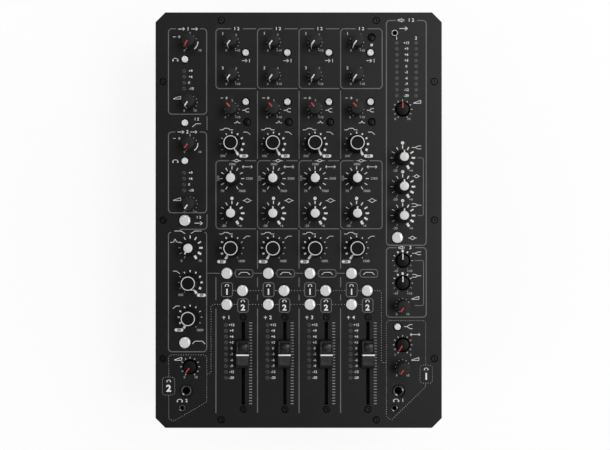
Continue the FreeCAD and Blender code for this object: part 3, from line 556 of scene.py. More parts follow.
def buildPanel():
    outline = bpy.data.curves.new("panelOutline", "CURVE")
    outline.dimensions = "2D"
    outline.fill_mode = "BOTH"
    outline.extrude = panelThick / 2 - panelLook["edge"]
    outline.bevel_depth = panelLook["edge"]
    outline.bevel_resolution = 2
    outline.offset = -panelLook["edge"]

    def addLoop(points):
        loop = outline.splines.new("POLY")
        loop.points.add(len(points) - 1)
        for point, (x, y) in zip(loop.points, points):
            point.co = (x, y, 0, 1)
        loop.use_cyclic_u = True

    left, right, front, rear = panelLow.x, panelHigh.x, panelLow.y, panelHigh.y
    cut = panelLook["cornerCut"]
    addLoop([(left + cut, front), (right - cut, front), (right, front + cut), (right, rear - cut),
             (right - cut, rear), (left + cut, rear), (left, rear - cut), (left, front + cut)])
    holes = [((knob["x"], knob["y"]), panelLook["lowHole" if knob["kind"] == "low" else "shaftHole"])
             for knob in knobs.values()]
    for places, width in ((smallButtons, "smallHole"), (largeButtons, "largeHole"),
                          (quarterJacks, "quarterHole"), (miniJacks, "miniHole"), (lamps, "lampHole"),
                          (panelScrews + faderScrews, "screwHole")):
        holes += [(place, panelLook[width]) for place in places]
    steps = panelLook["circleSteps"]
    for (x, y), width in holes:
        turns = [-math.tau * step / steps for step in range(steps)]
        addLoop([(x + math.cos(turn) * width / 2, y + math.sin(turn) * width / 2) for turn in turns])
    slot = rectangle(panelLook["slotWidth"] / 2, panelLook["slotLength"] / 2)
    for c in channels:
        addLoop([(faderX[c] + x, trackMiddle + y) for x, y in slot])
    plate = bpy.data.objects.new("plate", outline)
    bpy.context.scene.collection.objects.link(plate)
    bpy.context.view_layer.update()
    mesh = bpy.data.meshes.new_from_object(plate.evaluated_get(bpy.context.evaluated_depsgraph_get()))
    bpy.data.objects.remove(plate)
    bm = bmesh.new()
    bm.from_mesh(mesh)
    bmesh.ops.remove_doubles(bm, verts=bm.verts, dist=1e-4)
    bmesh.ops.recalc_face_normals(bm, faces=bm.faces)
    bmesh.ops.translate(bm, verts=bm.verts, vec=(0, 0, panelTop - panelThick / 2))
    plate = finishPiece("panel_plate", meshOf(bm), ["blackPowderCoat"], replaced=["top_panel"])
    # The level faces stay flat, so the rounded edges don't shade them.
    for face in plate.data.polygons:
        face.use_smooth = abs(face.normal.z) < panelLook["flatFrom"]


buildPanel()
print("panel done")


# Knobs. Heights are above the panel's top face.
knobShape = {
    "segments": 64, "gap": 0.8, "shaft": 3.0, "shaftEnd": -9.0, "edge": 0.25,
    "pointerWidth": 1.15, "pointerBar": 1.4, "lineWidth": 1.0, "inlay": 0.12,
    "quarterRound": 0.29,  # how far in a rounded edge is half way round it
    "ring": {"skirt": 8.25, "skirtTop": 2.4, "neck": 7.0, "neckTop": 4.8, "outer": 6.3,
             "band": (5.29, 5.97), "top": 15.8, "dish": 0.5},
    "cap": {"skirt": 6.5, "skirtTop": 2.4, "shoulder": 5.8, "shoulderTop": 14.2, "cap": 3.8, "top": 15.8,
            "nib": 5.75},
    "tall": {"base": 5.7, "rim": 5.2, "top": 13.8, "round": 0.5, "line": 1.2},
    "low": {"side": 5.1, "base": -4.0, "top": 2.5, "round": 0.35, "line": 1.0, "nib": 6.0},
}
redPointers = ("_trim_knob", "booth_level_knob", "cue_a_level_knob", "master_level_knob",
               "cue_a_source_knob", "cue_b_level_knob")


def shaftRows(upTo):
    shaft, end = knobShape["shaft"], knobShape["shaftEnd"]
    return [(0, end, 0), (shaft, end, 0), (shaft, upTo, 0)]


def skirtRows(s):
    gap, edge, skirt, top = knobShape["gap"], knobShape["edge"], s["skirt"], s["skirtTop"]
    return shaftRows(gap) + [(skirt - edge, gap, 0), (skirt, gap + edge, 0), (skirt, top - edge, 0),
                             (skirt - edge, top, 0)]


def buildRingKnob(bm, place):
    s = knobShape["ring"]
    neck, neckTop, rim, top, lift = s["neck"], s["neckTop"], s["outer"], s["top"], knobShape["inlay"]
    inner, outer = s["band"]
    floor = top - s["dish"]
    addTurned(bm, skirtRows(s) + [
        (neck + 0.3, neckTop - 1.2, 0), (neck, neckTop, 0), (rim + 0.1, top - 0.9, 0), (rim, top - 0.25, 0),
        (outer, top, 0), (inner, top, 1), (inner - 0.12, top - 0.12, 0), (inner - 0.12, floor, 0),
        (inner - 0.4, floor, 0), (0, floor - 0.15, 0),
    ], knobShape["segments"], matrix=place)
    skirt = s["skirt"] + lift
    path = [(outer - 0.1, top - 0.02), (rim + lift, top - 0.3), (rim + 0.1 + lift, top - 0.9),
            (neck + lift, neckTop + lift), (neck + 0.3 + lift, neckTop - 1.2 + lift),
            (skirt, s["skirtTop"] + lift), (skirt, knobShape["gap"] + knobShape["edge"])]
    addStrip(bm, path, knobShape["pointerBar"], 0.6, 1, place)


def buildCapKnob(bm, place):
    s = knobShape["cap"]
    shoulder, step, cap, top, nib = s["shoulder"], s["shoulderTop"], s["cap"], s["top"], s["nib"]
    addTurned(bm, skirtRows(s) + [
        (shoulder, step - 0.5, 0), (shoulder - 0.15, step - 0.15, 0), (shoulder - 0.5, step, 0),
        (cap, step, 0), (cap, top - 0.5, 1), (cap - 0.15, top - 0.15, 1), (cap - 0.5, top, 1),
        (0, top + 0.12, 1),
    ], knobShape["segments"], matrix=place)
    path = [(cap - 0.6, top - 0.35), (nib - 0.2, top - 0.5), (nib, top - 0.8), (nib + 0.1, step - 0.9)]
    addStrip(bm, path, knobShape["pointerWidth"], 0.9, 1, place)


def buildTallKnob(bm, place):
    s = knobShape["tall"]
    gap, lift, soft = knobShape["gap"], knobShape["inlay"], s["round"]
    base, rim, top, half = s["base"], s["rim"], s["top"], soft * knobShape["quarterRound"]
    addTurned(bm, shaftRows(gap) + [
        (base - 0.2, gap, 0), (base, gap + 0.2, 0), (rim + 0.02, top - soft, 0), (rim - half, top - half, 0),
        (rim - soft, top, 0), (0, top - 0.1, 0),
    ], knobShape["segments"], matrix=place)
    path = [(s["line"], top - 0.1 + lift), (rim - soft, top + lift), (rim - half + lift, top - half + lift),
            (rim + 0.02 + lift, top - soft), (base + lift, gap + 0.2)]
    addStrip(bm, path, knobShape["pointerWidth"], 0.5, 1, place)


def buildLowKnob(bm, place):
    s = knobShape["low"]
    lift, soft = knobShape["inlay"], s["round"]
    side, top, half = s["side"], s["top"], soft * knobShape["quarterRound"]
    addTurned(bm, shaftRows(s["base"]) + [
        (side, s["base"], 0), (side, top - soft, 0), (side - half, top - half, 0), (side - soft, top, 0),
        (0, top - 0.1, 0),
    ], knobShape["segments"], matrix=place)
    path = [(s["line"], top - 0.1 + lift), (side - soft, top + lift), (s["nib"], top - soft)]
    addStrip(bm, path, knobShape["lineWidth"], 0.4, 1, place)


def buildKnobs():
    builders = {"ring": buildRingKnob, "cap": buildCapKnob, "tall": buildTallKnob, "low": buildLowKnob}
    for node, knob in knobs.items():
        bm = bmesh.new()
        turn = Matrix.Rotation(-math.radians(knob["rest"]), 4, "Z")
        builders[knob["kind"]](bm, Matrix.Translation((knob["x"], knob["y"], panelTop)) @ turn)
        materials = ["softTouchBlack" if knob["kind"] == "tall" else "blackAbs",
                     "redAbs" if node.endswith(redPointers) else "paleAbs"]
        finishPiece(node.replace("_knob", "_dial_knob"), meshOf(bm), materials, node, [node])


buildKnobs()
print("knobs:", len(knobs))


# Fader caps: a white line on a ridge, a pillowed rest behind it and a dished one before it.
# Lengths run towards the rear, and widths across are shares of the half width.
faderCap = {
    "rear": 12.1, "front": -13.2, "rearLip": (11.0, 9.7), "frontLip": (-11.2, -9.6), "lipHeight": 5.4,
    "ridge": (1.4, -1.3), "ridgeHeight": 8.8, "line": 0.62, "lineShift": -0.45, "lineEdge": 0.01,
    "baseWidth": 11.9, "topWidth": 10.9, "ridgeWidth": 10.7, "corner": 1.5, "rim": 0.83, "rimInner": 0.72,
    "sag": 0.9, "pillow": (1.2, 0.9), "dish": 0.85, "ridgeEnd": 0.12, "lipEnds": (0.22, 0.42),
    "edge": 0.35, "edgeFrom": 0.93, "gap": 1.0, "stemWidth": 1.6, "stemLength": 8.0, "stemReach": 10.0,
    "columns": (1, 0.985, 0.955, 0.93, 0.88, 0.83, 0.8, 0.76, 0.72, 0.62, 0.5, 0.34, 0.17),
}


def smoothStep(value, low, high):
    share = min(1.0, max(0.0, (value - low) / (high - low)))
    return share * share * (3 - 2 * share)


def capRun(y):
    # 0 at the ridge and 1 at the lip, on whichever side of the ridge
    s = faderCap
    ridge, lip = (s["ridge"][0], s["rearLip"][1]) if y > 0 else (s["ridge"][1], s["frontLip"][1])
    return (y - ridge) / (lip - ridge)


def capHeight(y, across):
    # The side rims fall from the ridge to the end lips with a little sag, and the rests lie between them.
    s = faderCap
    run = capRun(y)
    slope = min(1.0, max(0.0, run))
    height = s["ridgeHeight"] + (s["lipHeight"] - s["ridgeHeight"]) * slope
    height -= s["sag"] * math.sin(math.pi * slope)
    if 0 < run < 1:
        inside = smoothStep(s["rim"] - abs(across), 0.0, s["rim"] - s["rimInner"])
        inside *= smoothStep(run, 0.0, s["ridgeEnd"]) * smoothStep(1 - run, 0.0, s["lipEnds"][y < 0])
        bowl = 1 - (across / s["rim"]) ** 2
        depth = s["pillow"][0] - s["pillow"][1] * bowl if y > 0 else s["dish"] * bowl
        height -= depth * inside
    return height


def capRing(y, share, columns):
    # One section of the cap: its width tapers with height and draws in round the corners.
    s = faderCap
    half = s["baseWidth"] / 2
    end = s["rear"] if y > 0 else s["front"]
    past = abs(y) - (abs(end) - s["corner"])
    if past > 0:
        half -= s["corner"] - math.sqrt(max(s["corner"] ** 2 - past ** 2, 0))
    onRidge = s["ridge"][1] <= y <= s["ridge"][0]
    top = half - (s["baseWidth"] - s["ridgeWidth" if onRidge else "topWidth"]) / 2
    ring = [(-half, y, 0.0), (half, y, 0.0)]
    for step in reversed(columns):
        over = min(1.0, max(0.0, (abs(step) - s["edgeFrom"]) / (1 - s["edgeFrom"])))
        drop = s["edge"] * (1 - math.sqrt(1 - over ** 2))
        ring.append((top * step, y, max(0.05, capHeight(y, step) * share - drop)))
    return ring


def capRows(line):
    # Where the sections lie, from rear to front, and how much of the height each has
    s = faderCap
    rearLip, frontLip, ridge, edge = s["rearLip"], s["frontLip"], s["ridge"], s["lineEdge"]
    rows = [(s["rear"], 0.02), (s["rear"] - 0.25, 0.3), (rearLip[0] + 0.25, 0.93), (rearLip[0], 0.985),
            (rearLip[0] - 0.2, 1.0)]
    for start, end, count in (
            (rearLip[1], ridge[0], 16), (ridge[0] - 0.05, line[0], 2), (line[0] - edge, line[1], 1),
            (line[1] - edge, ridge[1], 2), (ridge[1] - 0.05, frontLip[1], 16)):
        rows += [(start + (end - start) * step / count, 1.0) for step in range(count + 1)]
    return rows + [(frontLip[0] + 0.2, 1.0), (frontLip[0], 0.985), (frontLip[0] - 0.25, 0.93),
                   (s["front"] + 0.4, 0.3), (s["front"], 0.02)]


def buildFaderCap(c):
    s = faderCap
    node = f"channel_{c}_fader_cap"
    low, high = boxOf(node)
    middleY = (low.y + high.y) / 2
    base = panelTop + s["gap"]
    columns = [-step for step in s["columns"]] + [0] + list(reversed(s["columns"]))
    line = (s["lineShift"] + s["line"], s["lineShift"] - s["line"])
    rows = capRows(line)
    rings = [[(faderX[c] + x, middleY + along, base + up) for x, along, up in capRing(y, share, columns)]
             for y, share in rows]
    # Faces belong to the section before them. A ring starts with its two lower corners.
    places = [y for y, share in rows]
    lineRow = places.index(line[0] - s["lineEdge"])
    # The front rest's faces take the matt pad finish, whose greyer colour is painted light.
    paintedLightPadRows = [row for row, (y, after) in enumerate(zip(places, places[1:]))
               if s["frontLip"][1] <= after and y <= s["ridge"][1]]
    paintedLightPadSteps = [step + 2 for step, pair in enumerate(zip(columns, columns[1:]))
                if abs(sum(pair)) < 2 * s["rim"]]

    def capFinish(row, step):
        if row == lineRow and 2 <= step < len(columns) + 1:
            return 1
        return 2 if row in paintedLightPadRows and step in paintedLightPadSteps else 0

    bm = bmesh.new()
    addLoft(bm, rings, capFinish)
    stem = rectangle(s["stemWidth"] / 2, s["stemLength"] / 2)
    addLoft(bm, [[(faderX[c] + x, middleY + y, z) for x, y in stem]
                 for z in (base + 0.5, base - s["stemReach"])])
    bmesh.ops.recalc_face_normals(bm, faces=bm.faces)
    finishPiece(f"channel_{c}_scooped_cap", meshOf(bm),
                ["wornBlackAbs", "whiteScreenInk", "mattBlackAbs"], node, [node], sharpAngle=50)


for c in channels:
    buildFaderCap(c)
print("fader caps done")


# Push buttons: a turned cap on a square plunger. The crest is radius and drop, from the rim inwards.
buttonShape = {
    "small": {"top": 2.0, "tail": 4.0, "crest": (
        (2.75, 0.65), (2.7, 0.4), (2.56, 0.19), (2.35, 0.05), (2.1, 0.0), (1.7, 0.02), (1.4, 0.28),
        (0.8, 0.35))},
    "large": {"top": 2.0, "tail": 4.0, "crest": (
        (4.72, 1.2), (4.68, 0.92), (4.5, 0.68), (4.0, 0.475), (3.5, 0.31), (3.0, 0.18), (2.5, 0.08),
        (1.8, 0.0), (0.9, -0.02))},
    "plunger": 1.5, "plungerEnd": -11.0,
}


def buttonMesh(kind):
    s = buttonShape[kind]
    bm = bmesh.new()
    profile = [(0, -s["tail"], 0), (s["crest"][0][0], -s["tail"], 0)]
    profile += [(radius, s["top"] - drop, 0) for radius, drop in s["crest"]]
    profile.append((0, s["top"] - s["crest"][-1][1], 0))
    addTurned(bm, profile, 40)
    plunger = rectangle(buttonShape["plunger"], buttonShape["plunger"])
    addLoft(bm, [[(x, y, z) for x, y in plunger] for z in (0.2 - s["tail"], buttonShape["plungerEnd"])])
    return meshOf(bm)


finishCopies("small_push_buttons", buttonMesh("small"), smallButtons, panelTop, "whitePolycarbonate",
             "small_buttons", ["small_buttons"])
finishCopies("large_push_buttons", buttonMesh("large"), largeButtons, panelTop, "palePolycarbonate",
             "large_buttons", ["large_buttons"])
print("buttons:", len(smallButtons), len(largeButtons))


# Indicator lamps: columns of 3 mm lamps, and five larger smoked ones below the panel's face.
# The dome is shares of radius and rise, the well is reach from the hole's edge and height.
lampLook = {
    "radius": 1.6, "powerRadius": 1.15, "rise": 0.25, "bezel": 1.9, "die": (2.5, 0.6), "dieSlant": 52,
    "dome": ((0.93, 0.75), (0.6, 0.95)),
    "well": ((0.3, -4.4), (0.3, -2.2), (-0.3, -2.2), (-0.5, -1.6), (-1.2, -1.2)), "wellTop": -0.9,
    "pitch": 5.08, "channelOffset": 9.0, "channelTop": -90.8, "channelCount": 10,
    "returnX": -99.2, "returnTops": (129.2, 41.0), "returnCount": 4,
    "meterX": (85.0, 101.7), "meterTop": 153.5, "meterCount": 10, "powerPlace": (63.2, 151.7),
}


def lampColumns(columns):
    return [(x, top - lampLook["pitch"] * row) for x, top, count in columns for row in range(count)]


def lensMesh(radius):
    rise = lampLook["rise"]
    dome = [(radius * across, rise * up, 0) for across, up in lampLook["dome"]]
    return turnedMesh([(0, -0.3, 0), (radius, -0.3, 0), (radius, 0.05, 0)] + dome + [(0, rise, 0)], 20)


def dieMesh():
    bm = bmesh.new()
    length, width = lampLook["die"]
    slant = Matrix.Rotation(math.radians(lampLook["dieSlant"]), 4, "Z")
    corners = rectangle(length / 2, width / 2)
    addLoft(bm, [[slant @ Vector((x, y, z)) for x, y in corners] for z in (lampLook["rise"] + 0.04, 0.1)])
    return meshOf(bm)


def bezelMesh():
    inner, outer = lampLook["radius"], lampLook["bezel"]
    return turnedMesh([(inner, 0.0, 0), (outer, 0.0, 0), (outer - 0.1, 0.1, 0), (inner + 0.05, 0.1, 0)], 20,
                      closed=True)


def wellMesh():
    hole, well = panelLook["lampHole"] / 2, lampLook["well"]
    sides = [(hole + reach, height, 0) for reach, height in well]
    return turnedMesh([(0, well[0][1], 0)] + sides + [(0, lampLook["wellTop"], 0)], 40)


def buildLamps():
    s = lampLook
    meters = lampColumns([(x, s["meterTop"], s["meterCount"]) for x in s["meterX"]])
    columns = [(channelLeft[c] + s["channelOffset"], s["channelTop"], s["channelCount"]) for c in channels]
    strips = lampColumns(columns + [(s["returnX"], top, s["returnCount"]) for top in s["returnTops"]])
    for name, shape, places, material in (
            ("indicator_lamps", lensMesh(s["radius"]), meters + strips, "milkyEpoxy"),
            ("power_lamp", lensMesh(s["powerRadius"]), [s["powerPlace"]], "paleEpoxy"),
            ("lamp_dies", dieMesh(), strips, "smokedEpoxy"),
            ("lamp_bezels", bezelMesh(), meters + strips, "blackNylon"),
            ("lamp_wells", wellMesh(), lamps, "smokedEpoxy")):
        finishCopies(name, shape, places, panelTop, material)
    print("lamps:", len(meters + strips) + 1)


buildLamps()


# Screws: flat heads with a hexagon socket, sunk just below the panel's face
screwShape = {"head": 2.85, "sink": 0.4, "edge": 0.35, "socket": 1.0, "socketDepth": 1.3, "depth": 1.9}


def screwMesh():
    s = screwShape
    head, edge, socket, top = s["head"], s["edge"], s["socket"], -s["sink"]
    floor = top - s["socketDepth"]
    return turnedMesh([
        (0, -s["depth"], 0), (head, -s["depth"], 0), (head, top - edge, 0), (head - edge, top, 0),
        (socket + 0.2, top + 0.05, 0), (socket, top - 0.1, 0), (socket, floor, 0), (0, floor - 0.2, 0),
    ], 36, sides={5: 6, 6: 6})


finishCopies("panel_screws", screwMesh(), panelScrews + faderScrews, panelTop, "blackOxideSteel")
print("screws:", len(panelScrews + faderScrews))


# Jacks: a black nickel bush with a chamfered mouth, over a black body
jackShape = {
    "quarter": {"bore": 3.2, "bush": 4.7, "chamfer": 1.15, "body": 8.0, "depth": 30.0},
    "mini": {"bore": 1.75, "bush": 3.0, "chamfer": 0.95, "body": 5.0, "depth": 12.0},
    "ring": {"bore": 2.0, "bush": 3.0, "chamfer": 0.2, "body": 5.0, "depth": 12.0},
    "rise": 0.6, "ringRim": 2.62, "floor": 2.0,
}


def buildJacks():
    bm = bmesh.new()
    record = [place for place in miniJacks if place[1] > 0]
    phones = [place for place in miniJacks if place[1] < 0]
    rise, rim, under = jackShape["rise"], jackShape["ringRim"], -panelThick
    for kind, places in (("quarter", quarterJacks), ("mini", phones), ("ring", record)):
        s = jackShape[kind]
        bush, body, bore, cut = s["bush"], s["body"], s["bore"], s["chamfer"]
        end = under - s["depth"]
        floor = end + jackShape["floor"]
        profile = [(0, end, 1), (body, end, 1), (body, under, 1), (bush, under, 1)]
        if kind == "ring":
            # A black bush with a pale ring set into it
            profile += [(bush, rise - 0.2, 1), (bush - 0.2, rise, 1), (rim, rise, 1), (bore + cut, rise, 2),
                        (bore, rise - 0.3, 1)]
        else:
            profile += [(bush, rise - 0.15, 0), (bush - 0.15, rise, 0), (bore + cut, rise, 0),
                        (bore + cut * 0.55, rise - cut * 0.35, 0), (bore, rise - cut * 0.85, 0)]
        profile += [(bore, under - 1.0, 1), (bore, floor, 1), (0, floor, 1)]
        for x, y in places:
            addTurned(bm, profile, 44, matrix=Matrix.Translation((x, y, panelTop)))
    finishPiece("bright_jacks", meshOf(bm), ["blackNickel", "blackNylon", "whiteNylon"],
                replaced=["headphone_jacks"])


buildJacks()
print("jacks done")


# Printed frames, routing lines and brackets. The channel strips repeat, the side columns do not.
frameLook = {
    "width": 0.78, "thin": 0.6, "corner": 3.0, "boxCorner": 2.2, "bracketCorner": 1.5, "lineShift": 0.35,
    "break": 1.2, "dot": 0.45, "dotCorner": 2.5, "routePitch": 2.14, "framePitch": 2.0,
}
# Boxes across the strips: rear, front, and where the title's gap starts and ends
auxBox, sweepBox = (165.8, 114.0, 13.1, 23.3), (51.5, -7.5, 11.4, 25.1)
# Lines between the strips, from rear to front
stripRuns = {
    "first": ((-49.5, -69.4), (-76.6, -167.0)),
    "others": ((112.0, 53.0), (-8.6, -42.0), (-49.6, -58.0), (-64.5, -69.5), (-76.5, -167.0)),
}
# Boxes beside the strips: west, east, rear, front and the title's gap
sideBoxes = (
    (-112.8, -79.7, 165.8, 91.8, -106.2, -85.4), (-112.8, -79.7, 76.4, 6.4, -107.0, -85.8),
    (-112.8, -79.7, -10.5, -114.0, -110.4, -81.6), (76.0, 110.5, 173.0, -21.7, 84.3, 102.5),
    (76.0, 110.5, -23.8, -84.0, 84.9, 101.1),
)
sideLines = [[(-79.4, 90.0), (-79.4, 78.0)], [(-79.4, 5.0), (-79.4, -7.9), (-103.0, -7.9)]]
brackets = [[(103.0, 54.0), (108.0, 54.0), (108.0, 4.0), (103.0, 4.0)],
            [(100.3, -35.0), (108.2, -35.0), (108.2, -74.0), (100.3, -74.0)]]
# Outlined labels of the filter and cue buttons, from a strip's left: west, east, rear and front
labelBoxes = ((17.2, 32.4, -42.8, -49.4), (5.2, 14.7, -54.2, -66.3), (19.2, 28.4, -68.0, -79.8))
# Lines that link the filter buttons, and dotted ones that link the cue buttons and end at the phones
filterBus = {"y": -46.0, "start": -79.2, "stub": (15.7, 16.6), "from": 33.2, "into": 4.0}
cueBuses = ({"y": -61.0, "stub": (15.7, 17.2), "from": 29.9, "into": 4.0, "end": (71.7, -123.5, 75.2)},
            {"y": -73.0, "stub": (16.1, 18.0), "from": 29.5, "into": 3.8, "end": (-75.9, -133.3, -79.0)})
phonesBoxes = ((-118.0, -107.4, -136.0, -151.5), (105.2, 115.9, -125.6, -141.2))
leftPhonesFrame = [(-112.6, -135.0), (-112.6, -116.7), (-79.6, -116.7), (-79.6, -157.5), (-108.8, -174.3),
                   (-112.6, -171.5), (-112.6, -152.6)]
rightPhonesFrame = [(110.0, -124.6), (110.0, -87.0), (76.0, -87.0), (76.0, -169.6), (80.0, -173.6),
                    (110.0, -144.4), (110.0, -142.2)]


def stripFrames():
    paths = []
    pitch = panelGrid["pitch"]
    for c in channels:
        left = channelLeft[c] + frameLook["lineShift"]
        right = left + pitch
        stop = right - frameLook["break"]
        for rear, front, gapStart, gapEnd in (auxBox, sweepBox):
            path = [(left + gapStart, rear), (left, rear), (left, front)]
            if c < channels[-1]:
                paths.append(path + [(stop, front)])
                paths.append([(left + gapEnd, rear), (stop, rear)])
            else:
                paths.append(path + [(right, front), (right, rear), (left + gapEnd, rear)])
        runs = stripRuns["first" if c == channels[0] else "others"]
        paths += [[(left, rear), (left, front)] for rear, front in runs]
    return paths


def sideFrames():
    paths = [[(gapStart, rear), (west, rear), (west, front), (east, front), (east, rear), (gapEnd, rear)]
             for west, east, rear, front, gapStart, gapEnd in sideBoxes]
    return paths + sideLines


def boxPath(west, east, rear, front):
    return [(west, rear), (east, rear), (east, front), (west, front), (west, rear)]


def busLink(bus, c):
    # From one strip's button to the next strip's
    left, y = channelLeft[c], bus["y"]
    return [(left + bus["from"], y), (left + panelGrid["pitch"] + bus["into"], y)]


def busStub(bus, c):
    return [(channelLeft[c] + x, bus["y"]) for x in bus["stub"]]


def stripBoxes():
    paths = []
    for c in channels:
        left = channelLeft[c]
        paths += [boxPath(left + west, left + east, rear, front) for west, east, rear, front in labelBoxes]
        if c < channels[-1]:
            paths.append(busLink(filterBus, c))
        paths.append(busStub(filterBus, c))
    paths.append([(x, filterBus["y"]) for x in (filterBus["start"], channelLeft[1] + filterBus["into"])])
    return paths


def dottedRoutes():
    first, second = cueBuses
    routes = [busLink(bus, c) for bus in cueBuses for c in channels[:-1]]
    routes += [busStub(bus, c) for bus in cueBuses for c in channels]
    starts = (channelLeft[channels[-1]] + first["from"], channelLeft[channels[0]] + second["into"])
    for bus, start in zip(cueBuses, starts):
        turn, endY, endX = bus["end"]
        routes.append([(start, bus["y"]), (turn, bus["y"]), (turn, endY), (endX, endY)])
    return routes + [leftPhonesFrame] + [boxPath(*box) for box in phonesBoxes]


def printLines(name, paths, width, corner, material):
    mesh = grow(printedLines, pathMesh(paths, ink["level"]), {
        "Corner": corner, "Width": width, "Depth": ink["depth"], "Ink": finish[material]})
    finishPiece(name, mesh)


def printDots(name, paths, pitch):
    mesh = grow(dottedLines, pathMesh(paths, ink["level"]), {
        "Corner": frameLook["dotCorner"], "Pitch": pitch, "Dot": frameLook["dot"], "Depth": ink["depth"],
        "Ink": finish["whiteScreenInk"]})
    finishPiece(name, mesh)


printLines("printed_frames", stripFrames() + sideFrames(), frameLook["width"], frameLook["corner"],
           "greyScreenInk")
printLines("printed_label_boxes", stripBoxes(), frameLook["thin"], frameLook["boxCorner"], "greyScreenInk")
printLines("printed_brackets", brackets, frameLook["thin"], frameLook["bracketCorner"], "greyScreenInk")
printDots("printed_dotted_routes", dottedRoutes(), frameLook["routePitch"])
printDots("printed_dotted_frame", [rightPhonesFrame], frameLook["framePitch"])
print("frames done")


# Numbers, drawn once each in a wide plain type
numberLook = {"weight": 0.02, "bold": 0.05, "boldFrom": 4.5, "wide": 1.06, "digit": 0.7}
numberCache = {}


def numberMesh(text, height, weight=None):
    if (text, height) not in numberCache:
        s = numberLook
        curve = bpy.data.curves.new("number", "FONT")
        curve.body = text
        curve.size = height / s["digit"]  # a digit's share of the font's size
        curve.align_x, curve.align_y = "CENTER", "CENTER"
        curve.extrude = ink["depth"] / 2
        curve.offset = (weight or s["bold" if height > s["boldFrom"] else "weight"]) * height
        curve.resolution_u = 3
        carrier = bpy.data.objects.new("number", curve)
        bpy.context.scene.collection.objects.link(carrier)
        bpy.context.view_layer.update()
        depsgraph = bpy.context.evaluated_depsgraph_get()
        mesh = bpy.data.meshes.new_from_object(carrier.evaluated_get(depsgraph))
        mesh.transform(Matrix.Diagonal((s["wide"], 1, 1, 1)))
        numberCache[text, height] = mesh
        bpy.data.objects.remove(carrier)
    return numberCache[text, height]


# Dial marks. Angles are clockwise from the rear; most dials have eleven marks over 300 degrees.
def dial(radius, lengths, widths, marks=11, span=(-150, 150), growth=1.0, crest=0.0, dots=False,
         material="whiteScreenInk"):
    return {"Radius": radius, "Thin length": lengths[0], "Thick length": lengths[1], "Thin": widths[0],
            "Thick": widths[1], "Growth": growth, "Crest": crest, "Marks": marks,
            "First angle": math.radians(span[0]), "Last angle": math.radians(span[1]), "Round": dots,
            "Depth": ink["depth"], "Ink": finish[material]}


dialStyles = {
    "dots": dial(6.1, (0.75, 0.75), (0.75, 0.75), dots=True, material="paleScreenInk"),
    "driveDots": dial(6.15, (0.8, 0.8), (0.8, 0.8), marks=8, span=(-150, 60), dots=True,
                      material="paleScreenInk"),
    "ticks": dial(7.75, (1.5, 1.5), (0.7, 0.7), material="paleScreenInk"),
    "crestDots": dial(8.25, (1.0, 2.1), (0.2, 1.7), growth=2.2, crest=1.0),
    "lowPass": dial(9.9, (1.2, 2.0), (0.2, 2.0), marks=10, span=(-150, 120), growth=1.6),
    "lowPassEnd": dial(9.7, (2.9, 2.9), (2.0, 2.0), marks=1, span=(150, 150)),
    "highPass": dial(9.9, (1.2, 2.0), (0.25, 1.6), marks=10, span=(150, -120), growth=1.3),
    "highPassEnd": dial(9.8, (2.9, 2.9), (1.9, 1.9), marks=1, span=(-150, -150)),
    "even": dial(9.3, (2.7, 2.7), (0.65, 0.65)),
    "growing": dial(9.35, (2.5, 3.3), (0.22, 2.1), growth=1.7),
}


def dialStyleOf(node):
    if node.startswith("return") and "trim" in node:
        return "driveDots"
    if node.startswith("booth") and "level" not in node:
        return "crestDots"
    for part, style in (("low_pass", "lowPass"), ("high_pass", "highPass"), ("sweep", "even")):
        if part in node:
            return style
    return {"cap": "growing", "low": "ticks"}.get(knobs[node]["kind"], "dots")


def printDials():
    for style, look in dialStyles.items():
        centres = [(knob["x"], knob["y"]) for node, knob in knobs.items()
                   if dialStyleOf(node) == style.removesuffix("End")]
        mesh = grow(dialMarks, pointMesh(centres, ink["level"]), look)
        finishPiece(f"printed_dial_{style}", mesh)


printDials()

# Pills and discs at the dials. A pill's place is from the knob's axis.
flagShape = {
    "pillLength": 7.6, "pillWidth": 2.75, "pillText": "20", "pillTextHeight": 2.15,
    "disc": 2.8, "discHole": 0.7, "discRise": 12.9,
    "pill": {"channel_low": (10.3, -10.4), "channel_high": (-9.0, -11.9), "master_low": (9.8, -11.0),
             "master_high": (-9.7, -11.1)},
}
driveArc = {"radius": 6.65, "first": 84, "last": 148, "steps": 8, "width": 0.75}
scaleLook = {"offset": 30.4, "length": 2.8, "width": 0.75, "count": 29, "first": -89.0, "pitch": 2.5}


def roundedBar(length, width, steps=8):
    bm = bmesh.new()
    half, reach = width / 2, (length - width) / 2
    turns = [math.pi * (step / steps - 0.5) for step in range(steps + 1)]
    outline = [(reach + half * math.cos(turn), half * math.sin(turn)) for turn in turns]
    outline += [(-x, -y) for x, y in outline]
    depth = ink["depth"] / 2
    addLoft(bm, [[(x, y, z) for x, y in outline] for z in (-depth, depth)])
    bmesh.ops.recalc_face_normals(bm, faces=bm.faces)
    return meshOf(bm)


def discMesh(width):
    return roundedBar(width, width - 0.01)  # a bar whose straight sides are next to nothing


def arcPath(knob):
    s = driveArc
    turns = [math.radians(s["first"] + (s["last"] - s["first"]) * step / s["steps"])
             for step in range(s["steps"] + 1)]
    return [(knob["x"] + s["radius"] * math.sin(turn), knob["y"] + s["radius"] * math.cos(turn))
            for turn in turns]


